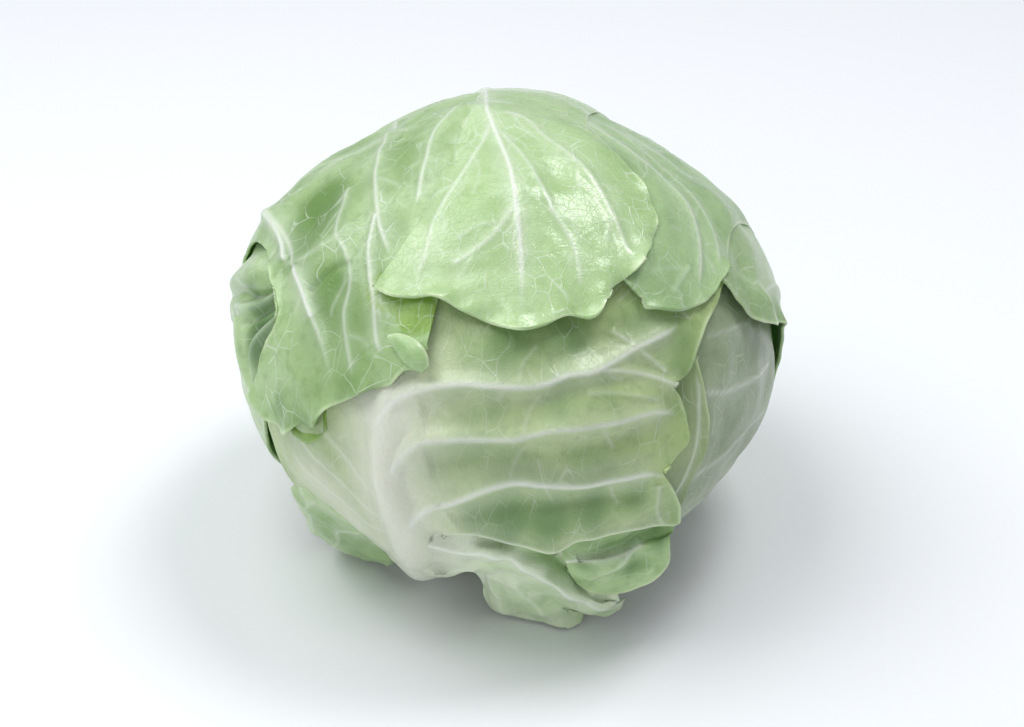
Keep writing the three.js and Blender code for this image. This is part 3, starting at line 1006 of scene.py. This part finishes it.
# %% The left side leaf
left_side_leaf = wrapper_leaf(
    "left_side_leaf",
    leaf_material("crumpled_left_blade", "#b0cb92", "#658a4c", net=0.3),
    {
        "grid": (180, 150),
        "focus": (0.65, 0.5),
        "seed": 61,
        "layer": 0,
        "foot": (-114, -90),
        "left": [(-122, 46), (-98, 54), (-68, 50)],
        "tip": [(-46, 40), (-50, 10), (-58, -16), (-60, -34)],
        "right": [(-140, -26), (-118, -36), (-98, -44), (-86, -46), (-74, -42)],
        "veins": [
            ([(-130, 20), (-104, 22), (-78, 20)], (2.5, 1.0), (4.0, 2.0), 0.6),
            ([(-92, 14), (-76, -4), (-64, -14)], (5.0, 5.0), (6.0, 6.0), 0.1),
            ([(-88, 8), (-79, -4), (-74, -15), (-68, -22), (-58, -26)], (-4.5, -4.5), (2.2, 2.2), 0.0),
            ([(-56, -28), (-67, -25.5), (-73, -20), (-80, -10)], (4.0, 3.0), (2.4, 2.2), 0.2),
            ([(-56, -31), (-66, -28), (-71, -26), (-77, -22)], (-4.0, -2.5), (1.8, 1.8), 0.0),
            (
                [(-56, -34), (-68, -30.5), (-72, -29.5), (-75, -30), (-79, -34)],
                (-4.5, -3.0), (1.8, 1.8), 0.0,
            ),
            (
                [(-56, -36), (-68, -33.5), (-73, -33.5), (-76, -37), (-78, -42)],
                (4.5, 3.0), (2.2, 2.0), 0.2,
            ),
            ([(-56, -40), (-67, -38.5), (-72, -38), (-76, -41)], (-6.0, -3.0), (2.6, 2.2), 0.0),
            ([(-77, -18), (-80, -27), (-81, -34), (-80, -42)], (4.0, 3.0), (2.4, 2.2), 0.3),
        ],
        "wave": 1.0,
        # painted shade: deep green in the valleys of the folds
        "deep": [
            ((-73, -15), 4, 0.7), ((-70, -26), 4, 0.8), ((-74, -31), 4, 0.9), ((-70, -38), 5, 1.0),
            ((-60, -31), 7, 0.8),
        ],
    },
)

# %% [markdown]
# The last two close the back. The margin of the first one folds forward over the right side,
# where a bump lifts it, and the second lies between the ends of the others.

# %% The right back leaf and the back leaf
right_back_leaf = wrapper_leaf(
    "right_back_leaf",
    leaf_material("folded_right_blade", "#a8c28d", "#86a26c", net=0.3),
    {
        "grid": (180, 110),
        "focus": (0.6, 0.4),
        "seed": 67,
        "layer": 0.4,
        "foot": (84, 112),
        "left": [(138, -8), (112, 0), (94, -4), (82, -14)],
        "tip": [(75, -24), (70, -29), (66, -31), (62, -31), (58, -31), (54, -31), (50, -30)],
        "right": [(120, 58), (86, 48), (58, 30), (44, 8), (42, -12)],
        "veins": [([(150, 22), (120, 26), (96, 20), (80, 0), (70, -20)], (3.0, 1.0), (4.0, 1.6), 0.5)],
        "swellings": [((70, -22), 5, 3.5), ((64, -18), 4, -1.5)],
        "edges": [([(82, -14), (75, -24), (66, -31), (54, -31)], 1.2, 4, 1.0, 10)],
    },
)
back_leaf = wrapper_leaf(
    "back_leaf",
    leaf_material("back_blade", "#abc590", "#8aa872", net=0.4),
    {
        "grid": (130, 100),
        "seed": 71,
        "layer": 0,
        "foot": (148, 184),
        "left": [(88, 104), (78, 62), (56, 30)],
        "tip": [(34, 16), (0, 22), (-30, 22)],
        "right": [(-30, 122), (-38, 80), (-36, 46)],
        "veins": [([(30, 150), (28, 110), (26, 70), (20, 40)], (3.0, 1.0), (4.0, 1.6), 0.6)],
    },
)

# %% [markdown]
# ## Crumpled margins
#
# Where a leaf's free margin meets the ground it can't stay on the ball: it buckles into lobes
# and rolls. Each is a sheet of its own, a smooth surface through a few given rows of
# points in millimetres, which starts hidden under the edge of the leaf that it belongs to.

# %% Sheets through rows of points
MARGIN_THICKNESS = 0.9
MARGIN_THINNING = 0.4
MARGIN_RIM_WIDTH = 1.0  # millimetres
NEVER = (-2, -1)  # left of the sheet, so that no part of it turns pale


def through_rows(rows, down, across):
    """A grid of points on the smooth surface through the rows: each row is spaced evenly across,
    and Catmull-Rom curves run down through the rows."""
    lines = np.stack([through(row, across) for row in rows])
    padded = np.concatenate([2 * lines[:1] - lines[1:2], lines, 2 * lines[-1:] - lines[-2:-1]])
    t = np.linspace(0, len(rows) - 1, down)
    i = np.minimum(t.astype(int), len(rows) - 2)
    return bend(padded[i], padded[i + 1], padded[i + 2], padded[i + 3], (t - i)[:, None, None])


def margin_masks(recipe, sheet):
    """Deep, the painted shade in folds, is the largest of exp(-(across / spread)^2 - (down /
    spread)^2) over the places that are given as shares across and down; foot fades across; rim
    fades in from the last row."""
    down, across = sheet.shape[:2]
    u, v = np.meshgrid(np.linspace(0, 1, down), np.linspace(0, 1, across), indexing="ij")
    deep = np.zeros_like(u)
    for (at_across, at_down), (wide, high) in recipe.get("deep", []):
        gap = ((v - at_across) / wide) ** 2 + ((u - at_down) / high) ** 2
        deep = np.maximum(deep, np.exp(-gap))
    to_edge = np.linalg.norm(sheet - sheet[-1:], axis=-1)
    return {
        "foot": 1 - soft_step(v, *recipe.get("pale_until", NEVER)),
        "rim": np.exp(-((to_edge / MARGIN_RIM_WIDTH) ** 2)),
        "inside": np.full(u.shape, recipe.get("inside", 0.0)),
        "deep": deep,
    }


def margin_sheet(name, node, material, rows, grid, recipe):
    """A closed sheet through rows of points, moved along its own normals by waves and lines.
    The lines' points are shares across and down the sheet. Its last row is the free edge."""
    down, across = (n // (2 * COARSER) * 2 + 1 for n in grid)
    sheet = through_rows(rows, down, across)
    normal = surface_normals(sheet)
    if (normal * (sheet - HEAD_CENTRE)).sum() < 0:
        normal = -normal

    def on_sheet(path):
        column = np.clip(path[:, 0] * (across - 1), 0, across - 1).astype(int)
        row = np.clip(path[:, 1] * (down - 1), 0, down - 1).astype(int)
        return sheet[row, column]

    solid = sheet.reshape(-1, 3)
    ridges, vein, haze = lay_lines(solid, recipe.get("veins", []), on_sheet)
    wrinkles = waves(solid, recipe.get("size", 9), recipe["seed"])
    height = ridges + recipe.get("wrinkle", 0.25) * wrinkles
    outer = sheet + normal * height.reshape(down, across)[..., None]
    outer[..., 2] = np.maximum(outer[..., 2], FLOOR_CLEARANCE + MARGIN_THICKNESS)
    masks = margin_masks(recipe, sheet)
    thickness = MARGIN_THICKNESS - MARGIN_THINNING * masks["rim"]
    masks["rim"] = recipe.get("rim", 0.8) * masks["rim"]
    masks["vein"] = vein.reshape(down, across)
    masks["haze"] = HAZE * haze.reshape(down, across)
    uv = np.stack([outer[..., 0], outer[..., 2]], axis=-1)
    piece = skin_mesh(name, outer, thickness, uv, masks, material)
    place(piece, node)
    return piece


def under_skin(points, depth):
    """Places in space at a depth under the skin, from map positions."""
    path = np.array(points, float)
    return [tuple(p) for p in on_head(*path.T, skin_radius(*path.T) - depth)]


# %% [markdown]
# The front wrapper leaf's margin rests on the ground and has buckled there into a large pale
# lobe with folds towards its edge. Its first row lies 2.5 mm under the skin, out of sight, and
# the rows below it swing out over a fold and down to the floor.

# %% The front leaf's lobe
LOBE_VEIN = "#dfe8d2"
LOBE_FOOT = "#cdd5bd"
front_lobe = margin_sheet(
    "front_leaf_lobe",
    "front_wrapper_leaf",
    # its greens are partly the margin's own pale tone and partly painted light: lighter than the leaf
    # above, they stand in for the light that the floor throws up into the lobe
    leaf_material("front_lobe_blade", "#e0eecb", "#a3c484", "#eef4e4", LOBE_FOOT, net=0.4),
    [
        under_skin(
            [
                (-36, -106), (-24, -102), (-12, -99), (-4, -100), (6, -102), (14, -104), (20, -104),
                (26, -103), (32, -102), (38, -101),
            ],
            2.5,
        ),
        [
            (-37, -82, 57), (-25, -88, 56), (-20, -91, 55), (-13, -95, 56), (-5, -95, 55), (0, -94, 53),
            (9, -91, 47), (17, -85, 39), (23, -82, 29), (28, -81, 23), (33, -78, 19), (38, -76, 17),
        ],
        [
            (-37, -82, 50), (-25, -88, 49), (-20, -91, 49), (-13, -96, 51), (-8, -98, 53), (-1, -97, 50),
            (4, -95, 45), (13, -93, 37), (21, -88, 28), (29, -83, 20), (36, -77, 15), (40, -72, 12),
        ],
        [
            (-37, -80, 44), (-26, -85, 42), (-18, -90, 44), (-8, -95, 47), (-1, -93, 44), (4, -91, 39),
            (13, -88, 29), (22, -82, 18), (27, -78, 11), (33, -74, 6), (38, -70, 6),
        ],
        [
            (-36, -78, 40), (-25, -83, 37), (-9, -91, 43), (-3, -90, 40), (2, -87, 34), (10, -82, 24),
            (18, -77, 15), (23, -74, 9), (28, -69, 5),
        ],
        [
            (-36, -74, 34), (-24, -80, 33), (-10, -87, 38), (-5, -82, 30), (1, -83, 26), (9, -80, 20),
            (16, -77, 14), (22, -74, 9), (26, -70, 6),
        ],
        [
            (-35, -70, 28), (-25, -81, 30), (-11, -81, 32), (-8, -72, 18), (1, -78, 16), (11, -77, 11),
            (18, -74, 6), (23, -71, 4), (26, -69, 4),
        ],
        [
            (-34, -64, 20), (-26, -74, 24), (-12, -76, 27), (-9, -65, 8), (-5, -65, 2), (5, -68, 1),
            (14, -71, 1), (21, -73, 1), (25, -70, 1.5),
        ],
    ],
    (120, 100),
    {
        "seed": 83,
        "wrinkle": 0.6,
        "size": 12,
        "veins": [
            ([(0.0, 0.3), (0.3, 0.32), (0.7, 0.33), (1.0, 0.34)], (0.5, 0.4), (1.4, 1.2), 0.7),
            ([(0.24, 0.66), (0.4, 0.82), (0.46, 1.0)], (1.2, 0.8), (2.0, 1.6), 0.4),
            ([(0.4, 0.7), (0.58, 0.86), (0.7, 1.0)], (1.4, 0.8), (2.0, 1.6), 0.3),
            ([(0.56, 0.68), (0.74, 0.8), (0.88, 0.95)], (1.0, 0.6), (2.0, 1.4), 0.3),
            ([(0.34, 0.75), (0.5, 0.9), (0.58, 1.0)], (-1.2, -1.0), (2.0, 1.8), 0.0),
            ([(0.52, 0.75), (0.68, 0.92), (0.8, 1.0)], (-1.2, -1.0), (2.0, 1.8), 0.0),
        ],
        # painted shade: deep green under the hem of the leaf above and in one fold
        "deep": [((0.62, 0.16), (0.24, 0.09)), ((0.9, 0.36), (0.06, 0.05))],
        "pale_until": (0.1, 0.42),
    },
)

# %% [markdown]
# Right of it, the same margin has folded back over itself into a smaller lobe, which lies on the
# first like a tongue. It shows the leaf's greener side and throws a shadow on the first lobe.

# %% The upper lobe
upper_lobe = margin_sheet(
    "front_leaf_upper_lobe",
    "front_wrapper_leaf",
    leaf_material("upper_lobe_blade", "#b3cf92", "#6b914b", LOBE_VEIN, LOBE_FOOT, net=0.3),
    [
        under_skin([(18, -102), (26, -99), (36, -96), (46, -91), (56, -87), (64, -84)], 2.5),
        [(18, -93, 47), (27, -90, 46), (36, -87, 46), (44, -82, 46), (50, -78, 46), (56, -76, 47)],
        [(19, -92, 44), (27, -91, 43), (36, -88, 42), (44, -83, 43), (50, -81, 44), (55, -78, 45)],
        [(20, -89, 38), (27, -87, 34), (36, -85, 33), (45, -80, 34), (51, -79, 37), (55, -78, 41)],
        [
            (23, -85, 30), (28, -83, 25), (36, -79, 20), (45, -79, 23), (50, -80, 27), (54, -77, 31),
            (55, -76, 36),
        ],
    ],
    (70, 90),
    {
        "seed": 89,
        "wrinkle": 0.5,
        "size": 11,
        "veins": [
            ([(0.0, 0.38), (0.3, 0.42), (0.55, 0.42), (0.75, 0.34)], (0.8, 0.5), (1.4, 1.2), 0.7),
            ([(0.2, 0.8), (0.45, 0.6), (0.62, 0.42), (0.74, 0.3)], (1.2, 1.4), (2.2, 2.0), 0.4),
            ([(0.1, 0.3), (0.4, 0.28), (0.7, 0.2), (0.95, 0.2)], (-1.4, -1.0), (2.0, 1.8), 0.0),
        ],
        # painted shade: deep green in its folds
        "deep": [
            ((0.5, 0.22), (0.5, 0.1)), ((0.9, 0.5), (0.12, 0.2)), ((0.15, 0.55), (0.12, 0.1)),
            ((0.6, 0.72), (0.16, 0.1)),
        ],
    },
)

# %% [markdown]
# Low on the left the edge of an older leaf shows past the midrib. It hangs from the stem and
# touches the ground, so it is a sheet too, but it is a leaf of its own.

# %% The lower left leaf
lower_left_leaf = margin_sheet(
    "lower_left_leaf",
    "lower_left_leaf",
    leaf_material("crumpled_margin_blade", "#c9deac", "#7fa45c", LOBE_VEIN, LOBE_FOOT, net=0.3),
    [
        under_skin([(-72, -74), (-69, -82), (-62, -92), (-58, -100), (-60, -112), (-74, -122)], 1.5),
        [(-75, -53, 48), (-73, -55, 45), (-67, -56, 39), (-60, -56, 32), (-50, -52, 20), (-42, -46, 8)],
        [(-76, -45, 39), (-74, -46, 36), (-69, -47, 28), (-62, -47, 21), (-53, -44, 12), (-45, -40, 4)],
        [(-76, -37, 31), (-74, -37, 25), (-70, -38, 18), (-63, -38, 11), (-56, -36, 5), (-48, -34, 2)],
        [(-74, -31, 24), (-73, -30, 17), (-69, -28, 8), (-62, -26, 1), (-56, -27, 1), (-50, -28, 1)],
    ],
    (70, 70),
    {
        "seed": 97,
        "wrinkle": 0.5,
        "veins": [
            ([(0.1, 0.1), (0.3, 0.6), (0.4, 1.0)], (1.0, 0.6), (1.8, 1.4), 0.4),
            ([(0.4, 0.1), (0.55, 0.6), (0.6, 1.0)], (1.0, 0.6), (1.8, 1.4), 0.4),
        ],
        # painted shade: deep green over the middle of the sheet
        "deep": [((0.5, 0.4), (0.5, 0.4))],
    },
)

# %% [markdown]
# At the corner below the bright flap the left wrapper's rim has rolled up like a wood shaving,
# which shows its paler side. It is a tube swept along a short path on the head, thin where the
# roll starts, and its radius shrinks by 12% over one turn so that it closes on itself.

# %% The rolled corner
CURL_PATH = [(-29, -56.5), (-26, -58.5), (-23.5, -60.8), (-21.5, -63), (-20, -65)]
CURL_RADII = np.array([0.6, 1.9, 2.9, 3.7, 4.3, 4.5, 4.2, 3.4, 1.8])
CURL_HEIGHT = 4.6  # millimetres from the skin to the middle of the roll
CURL_TURNS = range(-80, 281, 30)  # degrees
CURL_FLATNESS = 0.75
CURL_SHRINK = 0.12
FIRST_TURN, FULL_TURN = 1.4, 6.3  # radians


def unit(vectors):
    """The vectors at length 1."""
    return vectors / np.linalg.norm(vectors, axis=1)[:, None]


def curl_rows(path, radii):
    """Rings round a path over the skin, ring after ring of the roll. Each point is the path's
    middle + radius * (0.75 cos(turn) up + sin(turn) sideways)."""
    line = through(path, len(radii))
    middle = on_head(*line.T, skin_radius(*line.T) + CURL_HEIGHT)
    ahead = unit(np.gradient(middle, axis=0))
    up = unit(middle - HEAD_CENTRE)
    side = np.cross(ahead, up)
    rows = []
    for turn in np.radians(CURL_TURNS):
        radius = (radii * (1 - CURL_SHRINK * (turn + FIRST_TURN) / FULL_TURN))[:, None]
        across = CURL_FLATNESS * math.cos(turn) * up + math.sin(turn) * side
        rows.append((middle + radius * across).tolist())
    return rows


rolled_corner = margin_sheet(
    "rolled_corner",
    "left_wrapper_leaf",
    leaf_material("rolled_corner_blade", "#b7d39b", "#8db36f", net=0.3),
    curl_rows(CURL_PATH, CURL_RADII),
    (60, 60),
    {"seed": 101, "wrinkle": 0.1},
)

# %% [markdown]
# Below the left wrapper's lower edge a sliver of the leaf under it shows. It faces inwards, so it
# has the brighter green of an inner face.

# %% The under-leaf that shows at the left
under_leaf = margin_sheet(
    "under_leaf_strip",
    "left_wrapper_leaf",
    leaf_material("under_leaf_blade", "#8fb34e", "#6f9438", net=0.3),
    [
        under_skin([(-66, -56), (-60, -59), (-55, -61), (-50, -61)], -0.2),
        under_skin([(-67, -60), (-62, -64), (-57, -66), (-52, -65)], -0.6),
        under_skin([(-67, -61.5), (-62, -66.5), (-57, -68), (-53, -67.5)], -0.9),
    ],
    (30, 40),
    {"seed": 103, "inside": 0.9, "rim": 0.2},
)

# %% [markdown]
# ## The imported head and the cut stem
#
# Under the wrappers is the head proper, dozens of leaves folded into a hard ball, and below it
# the stump where the plant was cut. Only slivers of them show between the wrappers, and the
# stump's face shows from below. Both are turned profiles with a little waviness, so that they
# don't look machined.


# %% Turned bodies
WOBBLE_CIRCLE = 12  # the waviness is read off a wave field along a circle of this radius
WOBBLE_WAVE = 9
WOBBLE_SEED = 5


def turned_body(name, node, material, profile, wobble, rows=60, columns=96):
    """A closed body: the profile's (radius, height) points carried round the axis, each radius
    times 1 + wobble * waves. The first and last points lie on the axis and are single points."""
    line = through(profile, rows)[1:-1]
    turn = np.linspace(0, 2 * np.pi, columns, endpoint=False)
    way = np.stack([np.cos(turn), np.sin(turn)], axis=-1)
    level = np.concatenate([way, 0 * way[:, :1]], axis=1)
    shape = 1 + wobble * waves(level * WOBBLE_CIRCLE, WOBBLE_WAVE, WOBBLE_SEED)
    ring = line[:, None, :1] * way * shape[:, None]
    heights = np.broadcast_to(line[:, None, 1:], (*ring.shape[:2], 1))
    points = np.concatenate([ring, heights], axis=-1)
    index = np.arange(len(line) * columns).reshape(len(line), columns)
    wrapped = np.concatenate([index, index[:, :1]], axis=1)
    low, high = index.size, index.size + 1
    start, end = wrapped[0], wrapped[-1]
    cap_low = np.stack([np.full(columns, low), start[1:], start[:-1]], axis=-1)
    cap_high = np.stack([np.full(columns, high), end[:-1], end[1:]], axis=-1)
    faces = np.concatenate([quads(wrapped), cap_low, cap_high])
    ends = [(0, 0, profile[0][1]), (0, 0, profile[-1][1])]
    body = smooth_object(name, np.concatenate([points.reshape(-1, 3), ends]), faces, material)
    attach(body, "root")
    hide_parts(node)
    return body


# %% [markdown]
# Cut cabbage stem is a dry, pale, fibrous wood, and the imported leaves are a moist, pale green.
# Both let some light in and spread it, and both have a grain that runs up the stem, so one
# recipe with stretched noise does for the two, with a coarser grain for the leaves.

# %% Their flesh
FIBRE_STRETCH = (1.0, 1.0, 0.12)  # fibres are about eight times as long as they are wide
MOIST_FLESH = {
    "Subsurface Weight": 0.25,
    "Subsurface Radius": (1.0, 0.9, 0.6),
    "Subsurface Scale": 0.004,
}


def flesh_material(name, light, deep, grain, roughness, bump_height):
    """Pale plant flesh: two colours mixed by fibres that run up the stem, and a fine bump. grain
    is the noise's scale per metre."""
    material = bpy.data.materials.new(name)
    material.use_nodes = True
    tree = material.node_tree
    tree.nodes.clear()
    place_in_head = add_node(tree, "ShaderNodeTexCoord").outputs["Object"]
    stretch = add_node(tree, "ShaderNodeMapping", {"Scale": FIBRE_STRETCH}, Vector=place_in_head)
    settings = {"Scale": grain, "Detail": 5.0}
    fibre = add_node(tree, "ShaderNodeTexNoise", settings, Vector=stretch.outputs[0]).outputs[0]
    colour = mixed(tree, ramp(tree, fibre, 0.35, 0.7), light, deep)
    settings = {"Strength": 0.5, "Distance": bump_height}
    bump = add_node(tree, "ShaderNodeBump", settings, Height=fibre).outputs[0]
    settings = {"Roughness": roughness, **MOIST_FLESH}
    kind = "ShaderNodeBsdfPrincipled"
    surface = add_node(tree, kind, settings, Base_Color=colour, Normal=bump)
    add_node(tree, "ShaderNodeOutputMaterial", Surface=surface.outputs[0])
    return material


# %% [markdown]
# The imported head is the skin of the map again, 8.5 mm deeper all round, so that it fills the
# wrappers without showing through them. It ends flat where it sits on the stem.

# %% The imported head
HEAD_PROFILE_DEPTH = 8.5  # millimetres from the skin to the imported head
HEAD_FOOT = 12.6  # millimetres above the floor
head_down = np.linspace(180, 0, 25)
nothing = np.zeros(len(head_down))
head_radius = skin_radius(nothing, -head_down) - HEAD_PROFILE_DEPTH
head_at = on_head(nothing, -head_down, head_radius)
head_profile = [(-y, max(z, HEAD_FOOT)) for _, y, z in head_at]
head_profile[0] = (0, HEAD_FOOT)
head_profile[-1] = (0, head_profile[-1][1])
packed_head = turned_body(
    "packed_head",
    "packed_head",
    flesh_material("packed_leaf_flesh", "#c9dbb0", "#a9c48c", 260.0, 0.4, 0.0004),
    head_profile,
    0.004,
)

# %% [markdown]
# The stump is what the knife left: a hollowed foot with a rounded rim, wider towards the leaves.

# %% The cut stem
STEM_PROFILE = [
    (0, 0.9), (6, 0.8), (12, 0.5), (16.5, 0.0), (17.8, 0.6),
    (18.8, 3), (20.2, 7), (21.8, 11), (20, 11.8), (0, 11.8),
]  # radius and height in millimetres
stem = turned_body(
    "stem",
    "stem",
    flesh_material("cut_stem_flesh", "#e6e6cf", "#c6cba6", 900.0, 0.62, 0.0005),
    STEM_PROFILE,
    0.01,
)

# %% [markdown]
# ## Light
#
# A large soft box above and to the left makes the soft shadow on the right, a smaller one behind
# on the right puts the highlights on the crown, and a wide, weak fill in front keeps the folds
# open. The world is a pale blue white that stands in for a bright studio.

# %% The lights
HEAD_MIDDLE = (0, 0, 0.1)
COOL_WHITE = "#fbfdff"


def sun_panel(name, size, place_at, look_at, power, colour):
    """A square soft box, facing a point."""
    light = bpy.data.lights.new(name, "AREA")
    light.shape = "SQUARE"
    light.size = size
    light.energy = power
    light.color = linear(colour)[:3]
    lamp = bpy.data.objects.new(name, light)
    lamp.location = place_at
    away = np.array(place_at) - np.array(look_at)
    tilt = math.acos(away[2] / np.linalg.norm(away))
    lamp.rotation_euler = (tilt, 0, math.atan2(away[1], away[0]) + math.pi / 2)
    bpy.context.collection.objects.link(lamp)
    print(f"{name}: {power} W")


sun_panel("soft_box", 0.95, (-0.58, 0.02, 1.2), HEAD_MIDDLE, 11, COOL_WHITE)
sun_panel("glint", 0.46, (0.44, 0.22, 1.27), HEAD_MIDDLE, 7.5, COOL_WHITE)
sun_panel("front_fill", 1.4, (-0.6, -1.5, 0.4), (0, 0, 0.05), 6.0, "#f8faff")

world = bpy.data.worlds.new("studio")
bpy.context.scene.world = world
world.use_nodes = True
sky = world.node_tree.nodes["Background"]
sky.inputs["Color"].default_value = linear("#eef3fb")
sky.inputs["Strength"].default_value = 0.33
bpy.context.scene.view_settings.view_transform = "Standard"

# %% [markdown]
# ## Floor and camera
#
# The floor is a sheet of matt white paper, so large that its far edge is out of sight. It isn't
# part of the cabbage, so it is left unattached. The camera looks down at 32 degrees through a
# long lens, which keeps the head's outline nearly free of perspective.

# %% The floor
FLOOR_HALF = 4.0
floor_mesh = bpy.data.meshes.new("floor")
corners = [(x * FLOOR_HALF, y * FLOOR_HALF, 0) for x, y in ((-1, -1), (1, -1), (1, 1), (-1, 1))]
floor_mesh.from_pydata(corners, [], [(0, 1, 2, 3)])
floor = bpy.data.objects.new("floor", floor_mesh)
bpy.context.collection.objects.link(floor)
paper = bpy.data.materials.new("white_paper_sweep")
paper.use_nodes = True
matt = paper.node_tree.nodes["Principled BSDF"]
matt.inputs["Base Color"].default_value = linear("#f3f4f6")
matt.inputs["Roughness"].default_value = 0.7  # paper has no highlights
floor_mesh.materials.append(paper)

# %% The camera
CAMERA_ELEVATION = math.radians(32)
CAMERA_DISTANCE = 0.876
CAMERA_TARGET = (0.001, 0.0, 0.0648)
back = CAMERA_DISTANCE * math.cos(CAMERA_ELEVATION)
up = CAMERA_DISTANCE * math.sin(CAMERA_ELEVATION)
lens = bpy.data.cameras.new("camera")
lens.lens = 85
lens.sensor_width = 36
camera = bpy.data.objects.new("camera", lens)
camera.location = (CAMERA_TARGET[0], CAMERA_TARGET[1] - back, CAMERA_TARGET[2] + up)
camera.rotation_euler = (math.pi / 2 - CAMERA_ELEVATION, 0, 0)
bpy.context.collection.objects.link(camera)
bpy.context.scene.camera = camera
print("camera at", tuple(camera.location))
